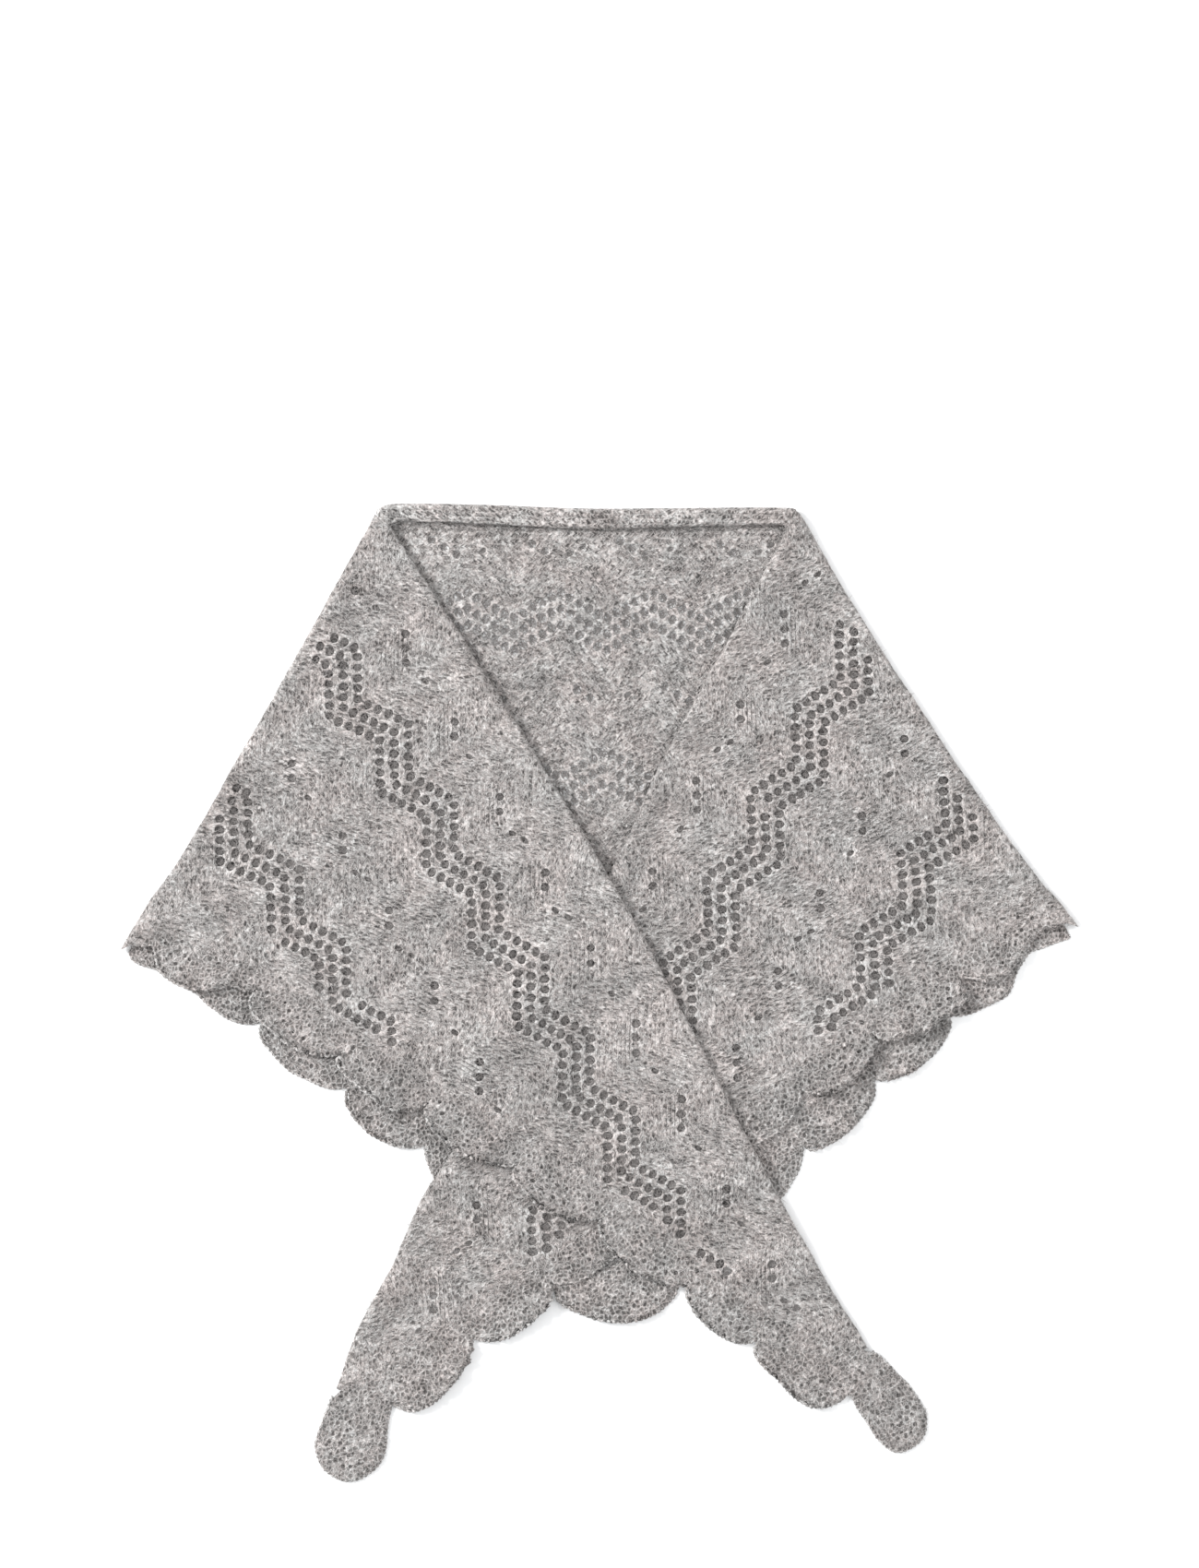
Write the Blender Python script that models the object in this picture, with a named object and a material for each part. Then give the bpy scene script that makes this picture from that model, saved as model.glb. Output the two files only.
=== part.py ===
"""Triangle shawl in soft lace knit, its two wings folded forward, laid flat with the neck to +Y.

Sizes are millimetres until a mesh is made. X runs along the shoulders, +Y towards the neck,
+Z up from the surface that the shawl lies on. Every cloth piece is one wall: a flat pattern is
cut into triangles, and each of its points has a place on the upper and on the lower face.
"""

import math

import bpy
import numpy as np
from mathutils import Vector
from mathutils.geometry import delaunay_2d_cdt

METRE = 0.001
TINY = 1e-9

# Cloth and the way that its layers lie
WALL = 1.8
SEAM_GAP = 0.3
ROUGHNESS = 0.95
KNIT_COLOUR = (0.36, 0.345, 0.33)
BORDER_COLOUR = (0.33, 0.315, 0.30)
LAYER = WALL + SEAM_GAP
FOLD_RADIUS = 4.0
FOLD_LOFT = 2.6
FOLD_FADE = 30.0
CURL_RADIUS = 3.5
CURL_FADE = 22.0
DRAPE_MARGIN = 13.0
DRAPE_RAMP = 24.0
UPPER_LAYER_MARGIN = 14.0
RIDGE_FLAT = 14.0
RIDGE_FADE = 26.0

# How finely the patterns are cut into triangles
GRID = 21.0
BORDER_GRID = 11.0
RIM_CLEARANCE = 0.5
HOLE_CLEARANCE = 0.45
CURVE_STEPS = 5
TIP_STEPS = 2
OUTLINE_STEPS = 2
SHARP_ANGLE = math.radians(40)
FOLD_STATIONS = 17
FOLD_TURN_STEPS = 5
EDGE_STATIONS = 34
EDGE_TURN_STEPS = 4
BACK_SIDE_STATIONS = 14

# Corners: how far the back's sides stop short, how far a fold's lower corner is drawn back, and
# how far the two turned edges keep from the neck corner
BACK_TOP = 2.0
BACK_CORNER = 20.0
FOLD_CORNER = 6.4
NECK_CORNER = 3.0
LONG_EDGE_Y = 321.0
CLOTH_MIDDLE = np.array([0.0, 100.0])

# Neck edge of the back, which curls forward into a roll
NECK_RISE = 7.4
NECK_TUCK = 11.0
NECK_TUCK_GAP = 1.1
NECK_TUCK_TURN = 0.75 * math.pi
NECK_TURN_STEPS = 5
NECK_TUCK_STEPS = 4
NECK_STATIONS = 19

# Scalloped border, knitted on along each lower edge
BORDER_INSET = 12.0
BORDER_REACH = 30.0
LOBE_STEPS = 7
LOBE_ROUNDNESS = 0.55
LEAN_SHARE = 0.35
RUFFLE_SKEW = 0.6
BORDER_DROP = np.array([0, -0.45])

# Lace: three strings of eyelets in a zigzag, parallel to the shawl's long edge
EYELET_LENGTH = 5.9
EYELET_WIDTH = 5.0
EYELET_PITCH = 7.2
STRING_SPACING = 11.5
ZIGZAG_RISE = 18.0
MOST_OUTER_IN_CLUSTER = 2

# Silhouette of the two folds, neck end first: x, y
LEFT_FOLD = [(-148.2, 320.7), (-184, 256), (-245, 148), (-277, 93), (-301, 59), (-319.2, 28)]
RIGHT_FOLD = [(132.2, 320.7), (184, 234), (252, 132), (289, 80), (308, 58), (319.2, 43.4)]
NECK_LINE = [(-143.5, 323.8), (-129, 325.6), (-80, 324.8), (-6, 322.2), (55, 322.6), (129, 322.8)]

# Where the neck roll leaves the flat of the back, and the two ears of the back beside it: x, y
NECK_BASE = [(-134.7, 306.6), (119.5, 305.6)]
LEFT_EAR, RIGHT_EAR = (-143.6, 315.5), (127.6, 315.0)

# Straight edge of each wing, neck end first: x, y
OVER_EDGE = [
    (-146.4, 321.3), (-92, 237), (-31, 140), (31, 34), (98, -95), (141, -175), (178.3, -236.5),
]
UNDER_EDGE = [
    (130.4, 319.5), (80, 225), (43, 157), (15, 96), (-37, -3),
    (-89, -92), (-118, -137), (-138, -181), (-163, -228.5), (-175.3, -264),
]

# Share of a straight edge's length, and how high its curl stands there; then the stretch of the
# under wing's curl that raises the over wing
OVER_CURL = [(0.0, 6.0), (0.85, 6.0), (1.0, 4.4)]
UNDER_CURL = [(0.0, 6.0), (0.32, 6.0), (0.38, 4.4), (0.86, 4.4), (0.9, 5.2), (1.0, 4.4)]
HIDDEN_CURL = (0.37, 0.88)
HIDDEN_STATIONS = 14

# Scallops: x and y of the notch that ends each lobe, its depth, its lean along the edge, its lift.
# The first row is where the border starts.
OVER_LOBES = [
    (-305, 30.5, 0, 0, 0), (-225.7, 4.6, 15, 0.35, 3.0), (-169.1, -37.2, 20, -0.05, 5.0),
    (-112.5, -71.6, 19, 0.25, 5.0), (-51.7, -110.4, 18, 0.0, 4.5), (6.2, -145.4, 20, -0.15, 4.5),
    (60.9, -192.2, 19, -0.25, 4.0), (107.6, -229.1, 17, 0.1, 3.0), (166.7, -267.8, 21, 0.4, 3.0),
]
UNDER_LOBES = [
    (304, 44.5, 0, 0, 0), (238.6, 10.8, 17, 0.15, 3.0), (181.4, -26.1, 20, -0.1, 4.5),
    (132.8, -63.0, 18, 0.1, 4.0), (83.6, -101.2, 14, 0.0, 0.0), (25.8, -147.3, 14, 0.0, 0.0),
    (-32.6, -192.2, 14, 0.0, 0.0), (-87.9, -226.6, 17, 0.1, 3.0), (-138.4, -274.6, 19, 0.15, 3.0),
]
BACK_LOBES = [
    (-313.5, 27, 0, 0, 0), (-223.9, -17.5, 9, 0.1, 1.5), (-164.8, -60.0, 17, -0.1, 2.0),
    (-113.8, -99.3, 19, 0.0, 2.0), (-70.1, -145.4, 14, 0.0, 0.0), (-30.8, -192.2, 14, 0.0, 0.0),
    (52.3, -194.0, 26, 0.1, 2.0), (92.2, -151.6, 14, 0.0, 0.0), (132.2, -99.3, 14, 0.0, 0.0),
    (179.6, -53.2, 19, 0.0, 2.0), (232.5, -15.7, 17, -0.1, 2.0), (314.0, 36.5, 10, -0.1, 1.5),
]

# Directions from each lower edge into the cloth; the back has one for its left and one for its right
OVER_INWARD, UNDER_INWARD = (0.555, 0.832), (-0.555, 0.832)
BACK_INWARD = [(0.526, 0.85), (-0.57, 0.822)]

# Tips of the wings, from the end of the straight edge round to the last notch: x, y
OVER_TIP = [
    (181.5, -239.2), (199.9, -256.1), (215.2, -276.4), (217.1, -288.7), (212.2, -300.4),
    (198.0, -306.0), (186.3, -298.0), (178.3, -285.7),
]
UNDER_TIP = [
    (-177.4, -268.4), (-186.3, -291.8), (-188.8, -305.3), (-181.4, -319.5), (-167.3, -325.6),
    (-153.8, -320.7), (-144.5, -307.2), (-141.4, -288.7),
]

# Lace bands: distance from the long edge, where the band starts and ends along it, the place of
# its first rising stretch, and the length of one repeat
OVER_BANDS = [(74, 52, 530, 87.6, 60), (184, 122, 392, 134, 60)]
UNDER_BANDS = [(80, 56, 318, 69, 63), (187, 116, 352, 123, 60)]
BACK_BANDS = [(74, -78, 98, -73, 62), (180, -26, 32, -42, 62)]

# Soft creases: x and y of both ends, height, width; each starts and ends at these shares of its line
CREASE_SPAN = (0.08, 0.92)
OVER_CREASES = [
    (-178, 236, -120, 120, 1.3, 16), (-150, 30, -40, -70, 1.0, 18), (-262, 92, -196, 48, 1.2, 15),
    (40, -60, 118, -196, 1.4, 16), (-98, 176, -38, 62, 1.0, 14), (132, -190, 178, -262, 1.2, 13),
]
UNDER_CREASES = [
    (168, 226, 128, 132, 1.2, 16), (262, 84, 196, 34, 1.2, 15), (210, 150, 150, 40, 1.0, 18),
    (-96, -190, -150, -290, 1.3, 13),
]


def smooth_curve(rows, steps):
    """Points of a Catmull-Rom curve through the rows, with this many steps between two of them."""
    rows = np.array([row[:2] for row in rows], float)
    ends = np.vstack([2 * rows[0] - rows[1], rows, 2 * rows[-1] - rows[-2]])
    made = []
    for before, start, end, after in zip(ends, ends[1:], ends[2:], ends[3:]):
        for step in range(steps):
            t = step / steps
            made.append(
                0.5 * (2 * start + (end - before) * t + (2 * before - 5 * start + 4 * end - after) * t**2
                       + (3 * start - before - 3 * end + after) * t**3)
            )
    made.append(rows[-1])
    return np.array(made)


def lengths_along(line):
    return np.concatenate([[0], np.cumsum(np.linalg.norm(np.diff(line, axis=0), axis=1))])


def resample(line, places):
    """Points of the line at these lengths along it."""
    along = lengths_along(line)
    return np.stack([np.interp(places, along, line[:, axis]) for axis in (0, 1)], axis=1)


def inward_normals(line, inside):
    """Unit normals at the points of a line, on the side where the point inside lies."""
    ahead = np.gradient(line, axis=0)
    ahead /= np.linalg.norm(ahead, axis=1)[:, None]
    normals = np.stack([-ahead[:, 1], ahead[:, 0]], axis=1)
    side = np.sign(((np.array(inside) - line) * normals).sum(axis=1))
    return normals * side[:, None]


def nearest_on(line, points):
    """For each point: its distance to the line, the segment that is nearest, the share of it, and
    the length along the line."""
    start, step = line[:-1], np.diff(line, axis=0)
    size = np.maximum((step**2).sum(axis=1), TINY)
    share = ((points[:, None] - start) * step).sum(axis=2) / size
    share = np.clip(share, 0, 1)
    apart = np.linalg.norm(points[:, None] - start - share[..., None] * step, axis=2)
    best = apart.argmin(axis=1)
    rows = np.arange(len(points))
    along = lengths_along(line)[best] + share[rows, best] * np.sqrt(size[best])
    return apart[rows, best], best, share[rows, best], along


def inside_of(polygon, points):
    x, y = points[:, 0, None], points[:, 1, None]
    x1, y1 = polygon[:, 0], polygon[:, 1]
    x2, y2 = np.roll(x1, -1), np.roll(y1, -1)
    rise = np.where(y2 == y1, 1, y2 - y1)
    crossing = ((y1 > y) != (y2 > y)) & (x < x1 + (y - y1) * (x2 - x1) / rise)
    return crossing.sum(axis=1) % 2 == 1


def ease(share):
    share = np.clip(share, 0, 1)
    return share * share * (3 - 2 * share)


def cover(polygon, points, margin):
    """One over the polygon and a margin round it, falling smoothly to nothing outside."""
    closed = np.vstack([polygon, polygon[:1]])
    apart = nearest_on(closed, points)[0]
    apart = np.where(inside_of(polygon, points), 0, apart)
    return 1 - ease((apart - margin) / DRAPE_RAMP)


def scalloped(rows):
    """The scalloped line through the notches, each lobe bulging to the outer side by its depth."""
    made = [np.array(rows[0][:2], float)]
    for (x1, y1, *_), (x2, y2, depth, lean, _) in zip(rows, rows[1:]):
        start, end = np.array([x1, y1], float), np.array([x2, y2], float)
        chord = end - start
        out = np.array([chord[1], -chord[0]]) / np.linalg.norm(chord)
        if np.dot(out, start - CLOTH_MIDDLE) < 0:
            out = -out
        for step in range(1, LOBE_STEPS + 1):
            u = step / LOBE_STEPS
            bulge = (4 * u * (1 - u)) ** LOBE_ROUNDNESS if step < LOBE_STEPS else 0
            leaned = u + lean * LEAN_SHARE * bulge * math.sin(math.pi * u)
            made.append(start + chord * leaned + out * depth * bulge)
    return np.array(made)


def seam_line(rows, inward):
    """The seam between a body and its border: the notches moved inward, with points between them."""
    notches = np.array([row[:2] for row in rows], float)
    return subdivided(notches + BORDER_INSET * np.asarray(inward), GRID)


def subdivided(line, longest):
    made = [line[0]]
    for start, end in zip(line, line[1:]):
        pieces = math.ceil(np.linalg.norm(end - start) / longest)
        made += [start + (end - start) * piece / pieces for piece in range(1, pieces + 1)]
    return np.array(made)


class Sheet:
    """A cloth wall in the making: points with an upper and a lower place, and triangles."""

    def __init__(self):
        self.upper = []
        self.lower = []
        self.faces = []

    def add_point(self, upper, lower):
        self.upper.append(tuple(upper))
        self.lower.append(tuple(lower))
        return len(self.upper) - 1

    def add_pattern(self, outline, holes, height, spacing):
        """Fills a flat outline with triangles and gives back the numbers of the outline's points."""
        rim = [outline, *holes]
        fixed = np.vstack(rim)
        edges, first = [], 0
        for loop in rim:
            count = len(loop)
            edges += [(first + i, first + (i + 1) % count) for i in range(count)]
            first += count
        low, high = outline.min(axis=0), outline.max(axis=0)
        rows = np.arange(low[1], high[1], spacing * math.sqrt(3) / 2)
        free = np.array([
            (x + (spacing / 2 if number % 2 else 0), y)
            for number, y in enumerate(rows)
            for x in np.arange(low[0], high[0], spacing)
        ])
        closed = np.vstack([outline, outline[:1]])
        free = free[inside_of(outline, free) & (nearest_on(closed, free)[0] > RIM_CLEARANCE * spacing)]
        for hole in holes:
            free = free[np.linalg.norm(free - hole.mean(axis=0), axis=1) > HOLE_CLEARANCE * spacing]
        given = np.vstack([fixed, free])
        points, _, faces, origins, _, _ = delaunay_2d_cdt(
            [Vector(point) for point in given], edges, [], 0, 1e-5
        )
        points = np.array([tuple(point) for point in points])
        faces = np.array([list(face) for face in faces])
        centres = points[faces].mean(axis=1)
        kept = inside_of(outline, centres)
        for hole in holes:
            near = np.linalg.norm(centres - hole.mean(axis=0), axis=1) < EYELET_LENGTH
            kept[near] &= ~inside_of(hole, centres[near])
        faces = faces[kept]
        levels = height(points)
        used = {}
        for number in np.unique(faces):
            x, y = points[number]
            used[number] = self.add_point((x, y, levels[number] + WALL), (x, y, levels[number]))
        ahead = points[faces[:, 1]] - points[faces[:, 0]]
        aside = points[faces[:, 2]] - points[faces[:, 0]]
        turned = ahead[:, 0] * aside[:, 1] - ahead[:, 1] * aside[:, 0] < 0
        faces[turned] = faces[turned][:, ::-1]
        self.faces += [tuple(used[number] for number in face) for face in faces]
        came_from = {origin: new for new, group in enumerate(origins) for origin in group}
        return [used[came_from[i]] for i in range(len(outline))]

    def add_strip(self, first_row, rows):
        """Joins rows of (upper, lower) places to a row of points that exists."""
        last = list(first_row)
        for row in rows:
            new = [self.add_point(*places) for places in row]
            for i in range(len(last) - 1):
                self.faces.append((last[i], last[i + 1], new[i]))
                self.faces.append((last[i + 1], new[i + 1], new[i]))
            last = new

    def make_object(self, name, material):
        """Closes the wall round its rim and makes the object."""
        count = len(self.upper)
        sides = {}
        for a, b, c in self.faces:
            for edge in ((a, b), (b, c), (c, a)):
                sides[edge] = True
        faces = [tuple(face) for face in self.faces]
        faces += [(c + count, b + count, a + count) for a, b, c in self.faces]
        for a, b in sides:
            if (b, a) not in sides:
                faces += [(b, a, a + count), (b, a + count, b + count)]
        mesh = bpy.data.meshes.new(name)
        mesh.from_pydata((np.array(self.upper + self.lower) * METRE).tolist(), [], faces)
        mesh.validate()
        mesh.shade_smooth()
        mesh.set_sharp_from_angle(angle=SHARP_ANGLE)
        mesh.materials.append(material)
        made = bpy.data.objects.new(name, mesh)
        bpy.context.scene.collection.objects.link(made)
        return made


def turned_rows(inner, outer, tops, bottoms, steps):
    """Rows of places for an edge that turns down and back under itself, from the inner line's top,
    round the outer line, to the inner line's bottom."""
    rows = []
    for step in range(1, steps + 1):
        angle = math.pi * step / steps
        row = []
        for near, far, top, bottom in zip(inner, outer, tops, bottoms):
            reach = np.linalg.norm(far - near)
            thin = (reach - WALL) / reach
            middle, half = (top + bottom) / 2, (top - bottom) / 2
            at = near + (far - near) * math.sin(angle)
            at_inside = near + (far - near) * thin * math.sin(angle)
            row.append((
                (*at, middle + half * math.cos(angle)),
                (*at_inside, middle + (half - WALL) * math.cos(angle)),
            ))
        rows.append(row)
    return rows


def meeting_point(line, line_offset, other, other_offset, inside):
    """Where two lines meet once both are moved inward from their first stretch."""
    places = []
    for path, offset in ((line, line_offset), (other, other_offset)):
        normal = inward_normals(path, inside)[0]
        places.append((path[0] + offset * normal, path[1] - path[0]))
    (p, d), (q, e) = places
    share = ((q - p)[0] * e[1] - (q - p)[1] * e[0]) / (d[0] * e[1] - d[1] * e[0])
    return p + share * d


def lace_of(origin, along, across, bands, polygon):
    """Eyelets of the bands, each a lozenge that points along its string.

    The middle string is cut whole. Of the outer two, only the largest eyelets are cut: those in the
    middle of each rising stretch.
    """
    eyelets = []
    for depth, start, end, rising, repeat in bands:
        slope = 2 * ZIGZAG_RISE / repeat
        for s in np.arange(start, end, EYELET_PITCH):
            phase = ((s - rising) / repeat + 0.25) % 1
            climbs = phase < 0.5
            zigzag = ZIGZAG_RISE * ((phase - 0.25) * 2 if climbs else (0.75 - phase) * 2)
            in_cluster = abs(phase - 0.25) * repeat < MOST_OUTER_IN_CLUSTER * EYELET_PITCH / 2
            for string in (-1, 0, 1):
                if string and not in_cluster:
                    continue
                centre = origin + s * along + (depth + zigzag + string * STRING_SPACING) * across
                ahead = along + (slope if climbs else -slope) * across
                ahead /= np.linalg.norm(ahead)
                aside = np.array([-ahead[1], ahead[0]])
                half_length, half_width = ahead * EYELET_LENGTH / 2, aside * EYELET_WIDTH / 2
                eyelets.append(np.array([
                    centre + half_length, centre + half_width, centre - half_length, centre - half_width,
                ]))
    closed = np.vstack([polygon, polygon[:1]])
    centres = np.array([eyelet.mean(axis=0) for eyelet in eyelets])
    clear = inside_of(polygon, centres) & (nearest_on(closed, centres)[0] > EYELET_LENGTH)
    return [eyelet for eyelet, kept in zip(eyelets, clear) if kept]


def crease_height(points, creases):
    total = np.zeros(len(points))
    for x1, y1, x2, y2, height, width in creases:
        line = np.array([(x1, y1), (x2, y2)], float)
        apart, _, share, _ = nearest_on(line, points)
        total += height * np.exp(-((apart / width) ** 2)) * np.sin(np.pi * np.clip(share, *CREASE_SPAN))
    return total


def border_lift(points, rows, seam):
    """How far the border's lobes rise off what they lie on: each is highest just past its notch."""
    notches = np.array([row[:2] for row in rows], float)
    _, lobe, share, _ = nearest_on(notches, points)
    lifts = np.array([row[4] for row in rows[1:]])
    reach = np.clip(nearest_on(seam, points)[0] / BORDER_REACH, 0, 1)
    return lifts[lobe] * reach**2 * np.sin(np.pi * share**RUFFLE_SKEW)


class Wing:
    """One folded-over wing: where its edges run and how high it lies."""

    def __init__(self, fold, edge, curl, lobes, tip, creases, inward, resting):
        self.fold = smooth_curve(fold, CURVE_STEPS)
        self.edge = smooth_curve(edge, CURVE_STEPS)
        self.curl = np.array(curl)
        self.lobes = lobes
        self.creases = creases
        self.resting = resting
        self.inside = 0.5 * (self.fold[len(self.fold) // 2] + self.edge[len(self.edge) // 2])
        self.tip = smooth_curve([*tip, lobes[-1]], TIP_STEPS)
        self.scallops = scalloped(lobes)
        self.corner = meeting_point(self.fold, FOLD_RADIUS, self.edge, CURL_RADIUS, self.inside)
        self.fold_lines()
        self.edge_lines()
        self.seam = np.vstack([seam_line(lobes[:-1], inward), self.inner_edge[-1:]])
        self.outline = np.vstack([self.fold, self.scallops[1:], self.tip[::-1], self.edge[::-1]])

    def fold_lines(self):
        length = lengths_along(self.fold)[-1]
        start = nearest_on(self.fold, self.corner[None])[3][0]
        places = np.linspace(start, length, FOLD_STATIONS)
        line = resample(self.fold, places)
        self.inner_fold = line + FOLD_RADIUS * inward_normals(line, self.inside)
        self.inner_fold[0] = self.corner
        last = line[-1] - line[-2]
        self.inner_fold[-1] -= last / np.linalg.norm(last) * FOLD_CORNER
        line[0] = resample(self.fold, [NECK_CORNER])[0]
        self.outer_fold = line

    def edge_lines(self):
        length = lengths_along(self.edge)[-1]
        start = nearest_on(self.edge, self.corner[None])[3][0]
        places = np.linspace(start, length, EDGE_STATIONS)
        line = resample(self.edge, places)
        self.inner_edge = line + CURL_RADIUS * inward_normals(line, self.inside)
        self.inner_edge[0] = self.corner
        line[0] = resample(self.edge, [NECK_CORNER])[0]
        self.outer_edge = line

    def height(self, points):
        """The level of the wing's lower face."""
        level = self.resting(points)
        to_fold = nearest_on(self.fold, points)[0]
        level += FOLD_LOFT * (1 - ease((to_fold - FOLD_RADIUS) / FOLD_FADE))
        to_edge, _, _, along = nearest_on(self.edge, points)
        share = along / lengths_along(self.edge)[-1]
        rise = np.interp(share, self.curl[:, 0], self.curl[:, 1]) - WALL
        past_end = np.linalg.norm(points - self.edge[-1], axis=1)
        rise = np.where(share < 1, rise, rise * (1 - ease(past_end / FOLD_FADE)))
        curled = self.resting(points) + rise * (1 - ease((to_edge - CURL_RADIUS) / CURL_FADE))
        level = np.maximum(level, curled)
        return level + crease_height(points, self.creases)

    def border_height(self, points):
        return self.height(points) + border_lift(points, self.lobes, self.seam)


def make_wing_body(name, wing, bands, material):
    sheet = Sheet()
    pattern = np.vstack([wing.inner_fold, wing.seam, wing.inner_edge[-2:0:-1]])
    origin = wing.edge[0]
    along = wing.edge[-1] - wing.edge[0]
    along /= np.linalg.norm(along)
    across = inward_normals(np.array([wing.edge[0], wing.edge[-1]]), wing.inside)[0]
    eyelets = lace_of(origin, along, across, bands, pattern)
    numbers = sheet.add_pattern(pattern, eyelets, wing.height, GRID)
    folds = len(wing.inner_fold)
    tops = wing.height(wing.inner_fold) + WALL
    fold_rows = turned_rows(wing.inner_fold, wing.outer_fold, tops, np.zeros(folds), FOLD_TURN_STEPS)
    edges = len(wing.inner_edge)
    tops = wing.height(wing.inner_edge) + WALL
    bottoms = wing.resting(wing.inner_edge)
    edge_rows = turned_rows(wing.inner_edge, wing.outer_edge, tops, bottoms, EDGE_TURN_STEPS)
    fold_numbers = numbers[:folds]
    edge_numbers = [numbers[0], *numbers[:-edges:-1]]
    add_turned(sheet, fold_numbers, fold_rows)
    add_turned(sheet, edge_numbers, edge_rows)
    sheet.make_object(name, material)


def add_turned(sheet, numbers, rows):
    """Adds a turned edge on the outer side of a row of points, whichever way that row runs."""
    start, end = (np.array(sheet.upper[numbers[i]][:2]) for i in (0, 1))
    out = np.array(rows[0][0][0][:2]) - start
    ahead = end - start
    if ahead[0] * out[1] - ahead[1] * out[0] > 0:
        sheet.add_strip(numbers, rows)
    else:
        sheet.add_strip(numbers[::-1], [row[::-1] for row in rows])


def make_border(name, seam, outer, height, material):
    """A scalloped border between its outer line and the seam, from which it keeps a little apart."""
    sheet = Sheet()
    pattern = np.vstack([seam + BORDER_DROP, outer[::-1]])
    sheet.add_pattern(pattern, [], height, BORDER_GRID)
    sheet.make_object(name, material)


def flat_level(points):
    return np.zeros(len(points))


def make_back_body(name, left, right, seam, material):
    """The back: a flat panel whose neck edge turns up and rolls forward over itself."""
    sides = []
    for wing in (left, right):
        length = lengths_along(wing.fold)[-1]
        line = resample(wing.fold, np.linspace(BACK_TOP, length - BACK_CORNER, BACK_SIDE_STATIONS))
        sides.append(line + (FOLD_RADIUS + SEAM_GAP) * inward_normals(line, wing.inside))
    neck = smooth_curve(NECK_LINE, CURVE_STEPS)
    base = np.linspace(*NECK_BASE, NECK_STATIONS)
    pattern = np.vstack([sides[0][::-1], LEFT_EAR, base, RIGHT_EAR, sides[1], seam[::-1]])
    eyelets = lace_of(
        np.array([0.0, LONG_EDGE_Y]), np.array([1.0, 0.0]), np.array([0.0, -1.0]), BACK_BANDS, pattern
    )
    sheet = Sheet()
    numbers = sheet.add_pattern(pattern, eyelets, flat_level, GRID)
    first = len(sides[0]) + 1
    line = resample(neck, np.linspace(0, lengths_along(neck)[-1], NECK_STATIONS))
    add_turned(sheet, numbers[first:first + NECK_STATIONS], neck_rows(base, line))
    sheet.make_object(name, material)


def neck_rows(base, line):
    """Rows of the neck roll: along the surface, up round the outer line, and back to a tucked rim.

    Each row of the profile holds how far in from the outer line and how high the outside is, and
    the way from there to the inside of the wall.
    """
    half = NECK_RISE / 2
    tuck = half - NECK_TUCK_GAP
    profile = [
        (half * (1 - math.sin(a)), half * (1 - math.cos(a)), math.sin(a), math.cos(a))
        for a in np.linspace(0, math.pi, NECK_TURN_STEPS + 1)
    ]
    profile += [
        (NECK_TUCK + tuck * math.sin(a), NECK_RISE - tuck * (1 - math.cos(a)), -math.sin(a), -math.cos(a))
        for a in np.linspace(0, NECK_TUCK_TURN, NECK_TUCK_STEPS)
    ]
    rows = []
    for inset, rise, aside, up in profile:
        row = []
        for near, far in zip(base, line):
            back = (near - far) / np.linalg.norm(near - far)
            outside = far + back * inset
            within = far + back * (inset + aside * WALL)
            row.append(((*within, rise + up * WALL), (*outside, rise)))
        rows.append(row)
    return rows


def fabric(name, colour):
    """A matt knitted cloth."""
    material = bpy.data.materials.new(name)
    material.use_nodes = True
    shader = material.node_tree.nodes["Principled BSDF"]
    shader.inputs["Base Color"].default_value = (*colour, 1)
    shader.inputs["Roughness"].default_value = ROUGHNESS
    shader.inputs["Metallic"].default_value = 0.0
    return material


def main():
    for old in list(bpy.data.objects):
        bpy.data.objects.remove(old)
    back_outline = np.vstack([
        smooth_curve(RIGHT_FOLD, OUTLINE_STEPS)[::-1],
        smooth_curve(LEFT_FOLD, OUTLINE_STEPS),
        scalloped(BACK_LOBES),
    ])

    def on_back(points):
        return LAYER * cover(back_outline, points, DRAPE_MARGIN)

    under = Wing(
        RIGHT_FOLD, UNDER_EDGE, UNDER_CURL, UNDER_LOBES, UNDER_TIP, UNDER_CREASES, UNDER_INWARD, on_back
    )
    edge_length = lengths_along(under.edge)[-1]
    hidden = resample(under.edge, np.linspace(*HIDDEN_CURL, HIDDEN_STATIONS) * edge_length)
    ridge_rise = under.curl[:, 1].min() - WALL

    def on_under(points):
        level = LAYER * cover(back_outline, points, DRAPE_MARGIN + UPPER_LAYER_MARGIN)
        level += LAYER * cover(under.outline, points, DRAPE_MARGIN)
        apart = nearest_on(hidden, points)[0]
        return level + ridge_rise * (1 - ease((apart - RIDGE_FLAT) / RIDGE_FADE))

    over = Wing(
        LEFT_FOLD, OVER_EDGE, OVER_CURL, OVER_LOBES, OVER_TIP, OVER_CREASES, OVER_INWARD, on_under
    )

    back_seam = seam_line(BACK_LOBES, [BACK_INWARD[row[0] > 0] for row in BACK_LOBES])
    knit = fabric("warm_grey_knit", KNIT_COLOUR)
    border = fabric("warm_grey_border", BORDER_COLOUR)
    make_back_body("back_panel", over, under, back_seam, knit)
    make_wing_body("under_wing", under, UNDER_BANDS, knit)
    make_wing_body("over_wing", over, OVER_BANDS, knit)
    make_border(
        "back_border", back_seam, scalloped(BACK_LOBES),
        lambda points: border_lift(points, BACK_LOBES, back_seam), border,
    )
    for name, wing in (("under_border", under), ("over_border", over)):
        outer = np.vstack([wing.scallops, wing.tip[-2::-1]])
        make_border(name, wing.seam, outer, wing.border_height, border)


main()
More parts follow.
